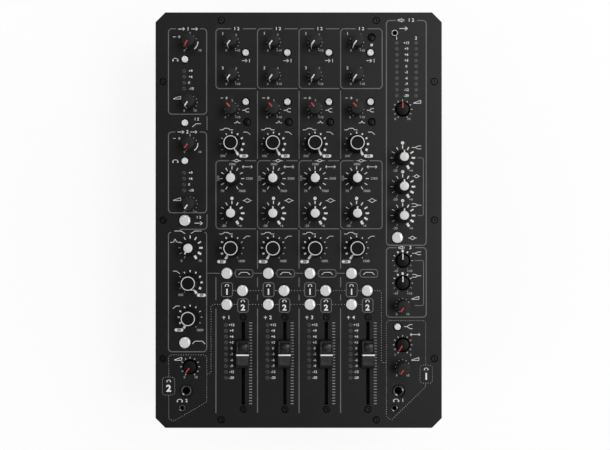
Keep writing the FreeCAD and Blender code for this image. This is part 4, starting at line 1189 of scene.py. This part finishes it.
def printFlags():
    s = flagShape
    pills, discs, arcs = [], [], []
    for node, knob in knobs.items():
        if knob["kind"] == "ring":
            east, north = s["pill"][node.split("_")[0] + ("_low" if "low_pass" in node else "_high")]
            pills.append((knob["x"] + east, knob["y"] + north))
        elif "boost" in node or node.startswith("eq"):
            discs.append((knob["x"], knob["y"] + s["discRise"]))
        elif dialStyleOf(node) == "driveDots":
            arcs.append(arcPath(knob))
    number = numberMesh(s["pillText"], s["pillTextHeight"], numberLook["bold"])
    for name, shape, places, lift, material in (
            ("printed_pills", roundedBar(s["pillLength"], s["pillWidth"]), pills, 0.0, "whiteScreenInk"),
            ("printed_discs", discMesh(s["disc"]), discs, 0.0, "whiteScreenInk"),
            ("open_numbers", number, pills, ink["coat"], "openInk"),
            ("open_centres", discMesh(s["discHole"]), discs, ink["coat"], "openInk")):
        finishCopies(name, shape, places, ink["level"] + lift, material)
    printLines("printed_drive_arcs", arcs, driveArc["width"], 0.0, "whiteScreenInk")


def printScales():
    s = scaleLook
    marks = [(channelLeft[c] + s["offset"], s["first"] - s["pitch"] * row)
             for c in channels for row in range(s["count"])]
    finishCopies("printed_fader_scales", roundedBar(s["length"], s["width"], 3), marks, ink["level"],
                 "dimScreenInk")


printFlags()
printScales()
print("dials done")


# Plain signs: how wide each is for its height, and its strokes
signLook = {"stroke": 0.45, "corner": 0.25, "endSize": 2.05}
signs = {
    "level": (3.0, [[(0, 0), (1, 0), (1, 1), (0, 0)]]),
    "gain": (2.6, [[(0, 0.5), (0.36, 0.5)], [(0.64, 0.5), (1, 0.5)], [(0.82, 0), (0.82, 1)]]),
    "lowPass": (2.3, [[(0, 0.85), (0.55, 0.85), (1, 0)]]),
    "highPass": (2.3, [[(0, 0), (0.45, 0.85), (1, 0.85)]]),
    "longLowPass": (3.6, [[(0, 0.85), (0.6, 0.85), (1, 0)]]),
    "longHighPass": (3.6, [[(0, 0), (0.4, 0.85), (1, 0.85)]]),
    "band": (4.0, [[(0, 0), (0.22, 0.85), (0.78, 0.85), (1, 0)]]),
    "plateau": (6.8, [[(0, 0.1), (0.22, 0.1), (0.36, 0.9), (0.64, 0.9), (0.78, 0.1), (1, 0.1)]]),
    "peak": (2.4, [[(0, 0.1), (0.35, 0.25), (0.5, 1), (0.65, 0.25), (1, 0.1)]]),
    "bell": (2.4, [[(0, 0.5), (0.2, 0.55), (0.5, 1), (0.8, 0.55), (1, 0.5)],
                   [(0, 0.5), (0.2, 0.45), (0.5, 0), (0.8, 0.45), (1, 0.5)]]),
    "longBell": (4.4, [[(0, 0.5), (0.3, 0.55), (0.5, 1), (0.7, 0.55), (1, 0.5)],
                       [(0, 0.5), (0.3, 0.45), (0.5, 0), (0.7, 0.45), (1, 0.5)]]),
    "highShelf": (3.2, [[(0, 0.5), (0.35, 0.5), (0.65, 1), (1, 1)], [(0.35, 0.5), (0.65, 0), (1, 0)]]),
    "lowShelf": (3.2, [[(1, 0.5), (0.65, 0.5), (0.35, 1), (0, 1)], [(0.65, 0.5), (0.35, 0), (0, 0)]]),
    "sweep": (3.4, [[(0, 0.5), (1, 0.5)], [(0.15, 0.95), (0, 0.5), (0.15, 0.05)],
                    [(0.85, 0.95), (1, 0.5), (0.85, 0.05)]]),
    "phones": (1.8, [[(0, 0), (0, 0.5), (0.2, 0.9), (0.5, 1), (0.8, 0.9), (1, 0.5), (1, 0)],
                     [(0.14, 0), (0.14, 0.42)], [(0.86, 0), (0.86, 0.42)]]),
    "arrow": (2.4, [[(0, 0.5), (1, 0.5)], [(0.68, 1), (1, 0.5), (0.68, 0)]]),
    "beforeFader": (2.2, [[(0, 0.5), (0.72, 0.5)], [(0.44, 0.95), (0.72, 0.5), (0.44, 0.05)],
                          [(1, 0), (1, 1)]]),
    "speaker": (1.8, [[(0, 0.3), (0.3, 0.3), (0.65, 0), (0.65, 1), (0.3, 0.7), (0, 0.7), (0, 0.3)],
                      [(0.85, 0.2), (0.97, 0.5), (0.85, 0.8)]]),
    "split": (2.0, [[(0, 0.5), (0.35, 0.5), (0.7, 1), (1, 1)], [(0.35, 0.5), (0.7, 0), (1, 0)]]),
    "fader": (0.9, [[(0.5, 0), (0.5, 1)], [(0, 0.6), (1, 0.6)]]),
}
# Signs and end numbers round a knob: x and y from its axis, what, height and turn
knobSigns = {
    "aux_1": [(-7.9, 7.6, "1", 2.4), (3.7, 6.4, "5", 1.9), (-4.9, -7.1, "0", 1.9), (4.9, -7.1, "+10", 1.9)],
    "aux_2": [(-7.9, 6.8, "2", 2.4), (3.7, 6.4, "5", 1.9), (-4.9, -7.1, "0", 1.9), (4.9, -7.1, "+10", 1.9)],
    "trim": [(-5.6, -6.9, "0", 1.9), (5.0, -6.9, "+10", 1.9), (0.3, 7.6, "5", 1.9), (-6.6, 9.8, "gain", 2.4)],
    "return_level": [(-5.1, -7.2, "0", 1.9), (4.2, -7.2, "10", 1.9), (-11.9, 4.2, "level", 2.5)],
    "return_trim": [(-4.9, -7.0, "0", 1.9), (8.4, -7.0, "10", 1.9), (0.0, 7.8, "5", 1.9),
                    (-11.5, 4.8, "gain", 2.5)],
    "low_pass": [(-7.9, -10.5, "300", 2.0), (-4.8, 12.9, "plateau", 1.7), (12.9, 9.4, "lowPass", 2.6)],
    "high_pass": [(8.3, -11.5, "1000", 2.0), (-5.0, 12.7, "plateau", 1.7), (12.9, 9.2, "highPass", 2.6)],
    "master_low_pass": [(-8.2, -10.8, "300", 2.0), (-11.9, 8.9, "lowPass", 2.6)],
    "master_high_pass": [(8.4, -11.3, "1000", 2.0), (-11.9, 8.7, "highPass", 2.6)],
    "sweep": [(-8.2, -10.8, "70", 2.0), (8.8, -10.8, "7000", 2.0), (0.2, 12.4, "1000", 2.0),
              (15.1, 0.0, "3300", 2.0), (-11.9, 0.2, "220", 2.0, 90), (13.3, 10.2, "sweep", 2.6)],
    "boost": [(-7.1, -10.9, "-20", 2.0), (6.9, -10.9, "+6", 2.0), (13.4, 11.0, "bell", 3.6)],
    "resonance": [(-7.5, -11.3, "0", 2.0), (8.6, -11.3, "10", 2.0), (-13.0, 6.0, "peak", 3.6)],
    "eq": [(-6.4, -11.1, "-20", 2.0), (7.3, -11.1, "+6", 2.0)],
    "booth_eq": [(-6.0, -9.1, "-10", 1.9), (6.0, -9.1, "+10", 1.9)],
    "eq_high": [(12.0, 9.0, "highShelf", 2.6)], "eq_mid": [(12.0, 9.0, "bell", 2.8)],
    "eq_low": [(12.0, 9.0, "lowShelf", 2.6)],
    "booth_high": [(12.1, 6.3, "highShelf", 2.4)], "booth_low": [(12.1, 6.3, "lowShelf", 2.4)],
    "right_level": [(-5.2, -7.5, "0", 1.9), (4.4, -7.5, "10", 1.9), (10.3, 6.7, "level", 2.5)],
    "master_level": [(-6.4, -8.5, "0", 1.9), (5.2, -8.5, "10", 1.9), (12.0, 6.5, "level", 2.5)],
    "source": [(-6.5, -8.7, "1", 1.9), (6.9, -8.7, "2", 1.9), (10.8, 8.9, "sweep", 2.5)],
    "cue_b_level": [(-4.9, -9.1, "0", 1.9), (5.0, -9.1, "10", 1.9), (-11.0, 6.9, "level", 2.5)],
}
lampNumbers = {
    "meter": ("+12", "+9", "+6", "+3", "0", "-3", "-6", "-9", "-12", "-20"),
    "return": (("+9", -93.6), ("+6", -93.6), ("0", -94.9), ("-10", -93.0)), "height": 2.1, "channelX": 13.9,
    "meterX": 93.3,
}
# The side columns: x, y, what and height
sideSigns = [
    (-101.4, 165.6, "arrow", 2.4), (-95.8, 165.6, "1", 2.8), (-90.2, 165.6, "arrow", 2.4),
    (-102.0, 76.4, "arrow", 2.4), (-96.4, 76.4, "2", 2.8), (-90.8, 76.4, "arrow", 2.4),
    (-103.0, -10.3, "longLowPass", 2.6), (-88.8, -10.3, "longHighPass", 2.6),
    (88.8, 173.2, "speaker", 3.0), (97.4, 173.2, "1 2", 2.8),
    (89.2, -23.8, "speaker", 2.8), (96.8, -23.8, "3", 2.8),
    (-106.8, 138.9, "phones", 2.6), (-106.8, 51.0, "phones", 2.6),
    (-88.4, 87.4, "1 2", 2.2), (-88.4, 82.4, "highPass", 3.2),
    (-86.6, 2.4, "1 2", 2.2), (-86.6, -2.6, "arrow", 3.0), (-86.6, -105.8, "band", 2.8),
    (90.9, 166.0, "arrow", 3.0), (84.9, 157.6, "1", 2.6), (101.6, 157.6, "2", 2.6),
    (98.6, -15.4, "bell", 3.2), (95.0, -92.2, "split", 3.6), (-103.0, -156.4, "phones", 2.6),
    (-97.2, -156.4, "2", 2.6), (84.4, -156.2, "phones", 2.6), (90.2, -156.2, "1", 2.6),
    (-112.6, -139.4, "phones", 1.9), (-112.6, -146.0, "2", 5.6), (110.5, -129.0, "phones", 1.9),
    (110.5, -135.6, "1", 5.6),
]


def signsOf(node):
    name = node.removesuffix("_knob")
    for start, level, other in (("return", "return_level", "return_trim"),
                                ("cue_a", "right_level", "source")):
        if name.startswith(start):
            return knobSigns[level if "level" in name else other]
    if name.startswith("channel"):
        return knobSigns[name.split("_", 2)[2]]
    if name.startswith("eq"):
        return knobSigns["eq"] + knobSigns[name]
    if name.startswith("booth"):
        return knobSigns["right_level"] if "level" in name else knobSigns["booth_eq"] + knobSigns[name]
    return knobSigns[name] if name in knobSigns else knobSigns[name.split("_", 1)[1]]


# Signs of a channel strip: x from its left, y, what and height
channelSigns = [
    (18.2, auxBox[0], "1 2", 2.6), (18.2, sweepBox[0], "longBell", 2.4), (26.1, 138.2, "beforeFader", 3.0),
    (26.1, 95.2, "split", 3.0), (18.8, 85.0, "peak", 2.2), (24.8, -46.1, "band", 2.4),
    (9.85, -56.6, "phones", 1.8), (9.85, -62.3, "1", 4.9), (23.7, -70.1, "phones", 1.8),
    (23.7, -76.0, "2", 4.9), (7.2, -84.4, "fader", 3.0),
]
channelNumber = {"x": 11.6, "y": -84.4, "height": 3.0}


def lampLabels(top, labels):
    return [(x, top - lampLook["pitch"] * row, text, lampNumbers["height"])
            for row, (text, x) in enumerate(labels)]


def stripSigns():
    s = lampNumbers
    placed = []
    for c in channels:
        left = channelLeft[c]
        placed += [(left + x, y, what, height) for x, y, what, height in channelSigns]
        placed.append((left + channelNumber["x"], channelNumber["y"], str(c), channelNumber["height"]))
        placed += lampLabels(lampLook["channelTop"], [(text, left + s["channelX"]) for text in s["meter"]])
    placed += lampLabels(lampLook["meterTop"], [(text, s["meterX"]) for text in s["meter"]])
    for top in lampLook["returnTops"]:
        placed += lampLabels(top, s["return"])
    return placed


def printText(sheet, text, height, place):
    before = len(sheet.verts)
    sheet.from_mesh(numberMesh(text, height))
    sheet.verts.ensure_lookup_table()
    bmesh.ops.transform(sheet, matrix=place, verts=sheet.verts[before:])


def printSigns():
    numbers, ends, strokes = bmesh.new(), bmesh.new(), []
    placed = [(knob["x"] + x, knob["y"] + y, *rest)
              for node, knob in knobs.items() for x, y, *rest in signsOf(node)]
    for x, y, what, height, *turn in placed + stripSigns() + sideSigns:
        if what in signs:
            share, lines = signs[what]
            strokes += [[(x + (across - 0.5) * height * share, y + (up - 0.5) * height)
                         for across, up in line] for line in lines]
        else:
            # Numbers at the ends of a dial are smaller and paler than the rest.
            sheet = ends if height < signLook["endSize"] else numbers
            turned = Matrix.Rotation(math.radians(sum(turn)), 4, "Z")
            printText(sheet, what, height, Matrix.Translation((x, y, ink["level"])) @ turned)
    finishPiece("printed_numbers", meshOf(numbers), ["whiteScreenInk"])
    finishPiece("printed_end_numbers", meshOf(ends), ["paleScreenInk"])
    printLines("printed_signs", strokes, signLook["stroke"], signLook["corner"], "whiteScreenInk")


printSigns()
print("signs done")


# Case: the CAD tub with its powder coat, and what is inside it
for node, material in (("chassis", "casePowderCoat"), ("fader_bodies", "blackNylon"),
                       ("control_bodies", "blackNylon"), ("circuit_boards", "greenSolderMask"),
                       ("power_supply", "greenSolderMask")):
    nodes[node].data.materials.clear()
    nodes[node].data.materials.append(finish[material])

# Rubber feet with a screw in each. The screw is radius and drop from the recess's roof.
footShape = {
    "top": 10.0, "bottom": 8.0, "height": 8.0, "round": 0.8, "recess": 3.4, "recessDepth": 4.0,
    "screw": ((0, 0.1), (2.2, 0.1), (2.6, 0.6), (2.0, 1.6), (0.9, 1.8), (0.9, 0.9), (0, 0.8)),
}


def buildFeet():
    s = footShape
    bm = bmesh.new()
    top, bottom, height, soft, recess, roof = (
        s[size] for size in ("top", "bottom", "height", "round", "recess", "recessDepth"))
    slope = (top - bottom) / height
    foot = [(0, roof, 0), (recess, roof, 0), (recess, 0.4, 0), (recess + 0.4, 0, 0), (bottom - soft, 0, 0),
            (bottom - 0.2, soft * 0.3, 0), (bottom + slope * soft, soft, 0), (top - 0.3, height - 0.8, 0),
            (top - 0.5, height, 0), (0, height, 0)]
    screw = [(radius, roof - drop, 1) for radius, drop in s["screw"]]
    for x, y in middles(solidsOf("rubber_feet")):
        place = Matrix.Translation((x, y, 0))
        addTurned(bm, foot, 40, matrix=place)
        addTurned(bm, screw, 24, matrix=place, sides={4: 6, 5: 6})
    bmesh.ops.recalc_face_normals(bm, faces=bm.faces)
    finishPiece("rubber_foot_set", meshOf(bm), ["mattRubber", "zincSheet"],
                replaced=["rubber_feet"])


buildFeet()

# Rear sockets: phono inputs, balanced outputs and the mains inlet. Depths are outward from the wall.
# A socket's width tells its kind, and the screws are radius, height and finish.
rearLook = {
    "phono": {"collar": 4.15, "length": 8.5, "flange": 6.0, "thick": 1.5, "bore": 1.6, "split": 44.0,
              "widest": 16.0},
    "output": {"flange": (13.0, 15.5), "thick": 1.6, "bore": 8.3, "cup": 10.5, "depth": 15.0, "wall": 2.2,
               "pin": 1.2, "pinCircle": 4.3, "pinLength": 9.0, "pinTurns": (90, 210, 330),
               "screwX": 9.8, "screwY": 12.3, "widest": 28.0,
               "screw": ((0, -0.3, 0), (2.3, -0.3, 0), (2.3, 0.1, 0), (1.5, 0.6, 0), (0.9, 0.7, 0),
                         (0.9, 0.0, 1), (0, 0.0, 1))},
    "mains": {"flange": (16.3, 12.4), "mouth": (12.3, 8.4), "thick": 1.6, "depth": 16.0, "wall": 1.6,
              "blade": (1.0, 2.0), "bladeTip": (0.6, 1.6), "bladeLength": 10.0, "bladePitch": 7.0,
              "bladeRise": 2.0},
    "numberHeight": 68.0, "numberSize": 4.0,
}
rearFinishes = ["brightNickel", "blackNylon", "whiteNylon", "redNylon", "goldFlash"]


def addPhono(bm, place, ring):
    s = rearLook["phono"]
    collar, length, thick, bore = s["collar"], s["length"], s["thick"], s["bore"]
    addTurned(bm, [
        (0, 0, 1), (s["flange"], 0, 1), (s["flange"], thick - 0.3, 1), (s["flange"] - 0.3, thick, 1),
        (collar, thick, 1), (collar, length - 0.3, 0), (collar - 0.3, length, 0), (collar - 0.7, length, 0),
        (collar - 0.9, length - 0.5, 0), (bore + 0.4, length - 0.5, ring), (bore, length - 0.8, ring),
        (bore, thick, 1), (0, thick, 4),
    ], 36, matrix=place)


def addOutput(bm, place):
    s = rearLook["output"]
    flange, cup, bore, pin, thick, depth = (
        s[size] for size in ("flange", "cup", "bore", "pin", "thick", "depth"))
    wide, tall = flange
    end, tip = -depth - s["wall"], s["pinLength"] - depth
    addTurned(bm, [
        (0, end, 1), (cup, end, 1), (cup, 0, 1), (flange, 0, 1), (flange, thick - 0.4, 1),
        ((wide - 0.4, tall - 0.4), thick, 1), (bore + 1.6, thick, 1), (bore + 1.2, thick - 0.4, 0),
        (bore + 0.3, thick - 0.4, 0), (bore, thick - 0.7, 0), (bore, -depth, 1), (0, -depth, 1),
    ], 64, matrix=place)
    for turn in s["pinTurns"]:
        x = s["pinCircle"] * math.cos(math.radians(turn))
        y = s["pinCircle"] * math.sin(math.radians(turn))
        addTurned(bm, [(0, -depth, 4), (pin, -depth, 4), (pin, tip - 0.6, 4), (0.5, tip, 4), (0, tip, 4)],
                  16, matrix=place @ Matrix.Translation((x, y, 0)))
    for side in (-1, 1):
        spot = place @ Matrix.Translation((side * s["screwX"], side * s["screwY"], thick))
        addTurned(bm, s["screw"], 24, matrix=spot, sides={4: 6, 5: 6})


def addMains(bm, place):
    s = rearLook["mains"]
    flange, mouth, blade, thick, depth, wall = (
        s[size] for size in ("flange", "mouth", "blade", "thick", "depth", "wall"))
    wide, tall = flange
    mouthX, mouthY = mouth
    back = (mouthX + wall, mouthY + wall)
    addTurned(bm, [
        (0, -depth - wall, 1), (back, -depth - wall, 1), (back, 0, 1), (flange, 0, 1),
        (flange, thick - 0.5, 1), ((wide - 0.5, tall - 0.5), thick, 1),
        ((mouthX + 0.4, mouthY + 0.4), thick, 1), (mouth, thick - 0.4, 1), (mouth, -depth, 1), (0, -depth, 1),
    ], 64, matrix=place)
    tip = s["bladeLength"] - depth
    for step in (-1, 0, 1):
        lift = -s["bladeRise"] if step == 0 else s["bladeRise"]
        addTurned(bm, [(0, -depth, 4), (blade, -depth, 4), (blade, tip - 0.5, 4), (s["bladeTip"], tip, 4),
                       (0, tip, 4)], 16, matrix=place @ Matrix.Translation((step * s["bladePitch"], lift, 0)))


def buildRearSockets():
    bm, numbers = bmesh.new(), bmesh.new()
    outward = Matrix.Rotation(math.radians(-90), 4, "X")
    sockets = solidsOf("rear_sockets")
    phonoWidth, outputWidth = rearLook["phono"]["widest"], rearLook["output"]["widest"]
    wall = min(low.y for low, high in sockets if high.x - low.x < phonoWidth)
    columns = set()
    for low, high in sockets:
        middle, width = (low + high) / 2, high.x - low.x
        place = Matrix.Translation((middle.x, wall, middle.z)) @ outward
        if width < phonoWidth:
            # The upper row has white rings and the lower row red ones.
            addPhono(bm, place, 2 if middle.z > rearLook["phono"]["split"] else 3)
            columns.add(round(middle.x, 2))
        elif width < outputWidth:
            addOutput(bm, place)
        else:
            addMains(bm, place)
    finishPiece("rear_socket_set", meshOf(bm), rearFinishes, replaced=["rear_sockets"])
    facing = Matrix(((-1, 0, 0, 0), (0, 0, 1, 0), (0, 1, 0, 0), (0, 0, 0, 1)))
    for number, x in enumerate(sorted(columns), 1):
        spot = Matrix.Translation((x, wall + 0.01, rearLook["numberHeight"])) @ facing
        printText(numbers, str(number), rearLook["numberSize"], spot)
    finishPiece("rear_numbers", meshOf(numbers), ["whiteScreenInk"])


buildRearSockets()
print("rear done")


# Floor, light and camera: metres for the floor and the lamps, millimetres for the camera's place.
# A fade is where a change of brightness starts and ends.
studio = {
    "floor": "#f4f4f3", "floorSize": 40.0, "floorRoughness": 0.9, "nearWhite": 0.88, "nearFade": (0.2, 0.7),
    "contact": 0.02, "zenith": 0.04, "horizon": 1.0, "roomFade": (0.0, 0.9), "wallFade": (0.1, 0.45),
    "key": {"place": (2.36, 0.34, 3.65), "size": (3.6, 1.65), "power": 120.0},
    "rear": {"place": (-0.2, 1.65, 2.86), "size": (1.0, 0.5), "power": 8.0},
    "fill": {"place": (-1.4, -1.0, 0.7), "size": (0.9, 0.9), "power": 8.0},
    "glint": {"place": (0.9, 0.9, 0.55), "size": (1.0, 0.36), "power": 4.5},
    "cameraHeight": 800.0, "cameraX": 5.5, "cameraY": -4.2, "lens": 54.5, "sensor": 36.0,
}


def straightRays(tree):
    # 1 for what the eye, a mirror or a clear piece sees, 0 for what only lights the object
    path = addNode(tree, "ShaderNodeLightPath").outputs
    seen = addNode(tree, "ShaderNodeMath", {0: path["Is Camera Ray"], 1: path["Is Glossy Ray"]},
                   operation="MAXIMUM").outputs[0]
    return addNode(tree, "ShaderNodeMath", {0: seen, 1: path["Is Transmission Ray"]},
                   operation="MAXIMUM").outputs[0]


def buildFloor():
    mesh = bpy.data.meshes.new("floor")
    reach = studio["floorSize"] / 2
    corners = [(x, y, 0) for x, y in reversed(rectangle(reach, reach))]
    mesh.from_pydata(corners, [], [(0, 1, 2, 3)])
    floor = bpy.data.objects.new("floor", mesh)
    bpy.context.scene.collection.objects.link(floor)
    # Matt background paper, white where the eye or a mirror sees it.
    material = bpy.data.materials.new("palePaper")
    material.use_nodes = True
    tree = material.node_tree
    paper = tree.nodes["Principled BSDF"]
    paper.inputs["Base Color"].default_value = hexColour(studio["floor"])
    paper.inputs["Roughness"].default_value = studio["floorRoughness"]
    glow = addNode(tree, "ShaderNodeEmission", {"Color": (1, 1, 1, 1), "Strength": 1.0})
    seen = straightRays(tree)
    where = addNode(tree, "ShaderNodeTexCoord").outputs["Object"]
    away = addNode(tree, "ShaderNodeVectorMath", {0: where}, operation="LENGTH").outputs["Value"]
    near, far = studio["nearFade"]
    white = addNode(tree, "ShaderNodeMapRange", {
        0: away, 1: near, 2: far, 3: studio["nearWhite"], 4: 1.0}).outputs[0]
    share = addNode(tree, "ShaderNodeMath", {0: seen, 1: white}, operation="MULTIPLY").outputs[0]
    # Close under the case the paper keeps its whole shadow.
    clear = addNode(tree, "ShaderNodeAmbientOcclusion", {
        "Distance": studio["contact"]}, samples=8).outputs["AO"]
    share = addNode(tree, "ShaderNodeMath", {0: share, 1: clear}, operation="MULTIPLY").outputs[0]
    mix = addNode(tree, "ShaderNodeMixShader", {0: share, 1: paper.outputs[0], 2: glow.outputs[0]})
    tree.links.new(mix.outputs[0], tree.nodes["Material Output"].inputs["Surface"])
    mesh.materials.append(material)


def addLamp(name):
    # The longer side of a lamp lies level.
    s = studio[name]
    lamp = bpy.data.lights.new(name, "AREA")
    lamp.shape, lamp.energy = "RECTANGLE", s["power"]
    lamp.size, lamp.size_y = s["size"]
    holder = bpy.data.objects.new(name, lamp)
    holder.location = s["place"]
    aim = Vector((0, 0, panelTop * mm)) - Vector(s["place"])
    holder.rotation_euler = aim.to_track_quat("-Z", "Y").to_euler()
    bpy.context.scene.collection.objects.link(holder)


def buildWorld():
    # A room with pale walls and a dark ceiling. The walls are white where they are seen.
    world = bpy.data.worlds.new("studio")
    bpy.context.scene.world = world
    world.use_nodes = True
    tree = world.node_tree
    toward = addNode(tree, "ShaderNodeTexCoord").outputs["Generated"]
    rise = addNode(tree, "ShaderNodeSeparateXYZ", {0: toward}).outputs["Z"]
    low, high = studio["roomFade"]
    room = addNode(tree, "ShaderNodeMapRange", {
        0: rise, 1: low, 2: high, 3: studio["horizon"], 4: studio["zenith"]}).outputs[0]
    low, high = studio["wallFade"]
    wall = addNode(tree, "ShaderNodeMapRange", {
        0: rise, 1: low, 2: high, 3: 1.0, 4: studio["zenith"]}).outputs[0]
    strength = addNode(tree, "ShaderNodeMix", {
        0: straightRays(tree), 2: room, 3: wall}, data_type="FLOAT").outputs[0]
    sky = tree.nodes["Background"]
    sky.inputs["Color"].default_value = (1, 1, 1, 1)
    tree.links.new(strength, sky.inputs["Strength"])


def buildStudio():
    buildFloor()
    for name in ("key", "rear", "fill", "glint"):
        addLamp(name)
    buildWorld()
    camera = bpy.data.cameras.new("camera")
    camera.lens, camera.sensor_width = studio["lens"], studio["sensor"]
    holder = bpy.data.objects.new("camera", camera)
    height = panelTop + studio["cameraHeight"]
    holder.location = Vector((studio["cameraX"], studio["cameraY"], height)) * mm
    bpy.context.scene.collection.objects.link(holder)
    bpy.context.scene.camera = holder
    bpy.context.scene.view_settings.view_transform = "Standard"


buildStudio()
print("studio done")

bpy.context.view_layer.update()
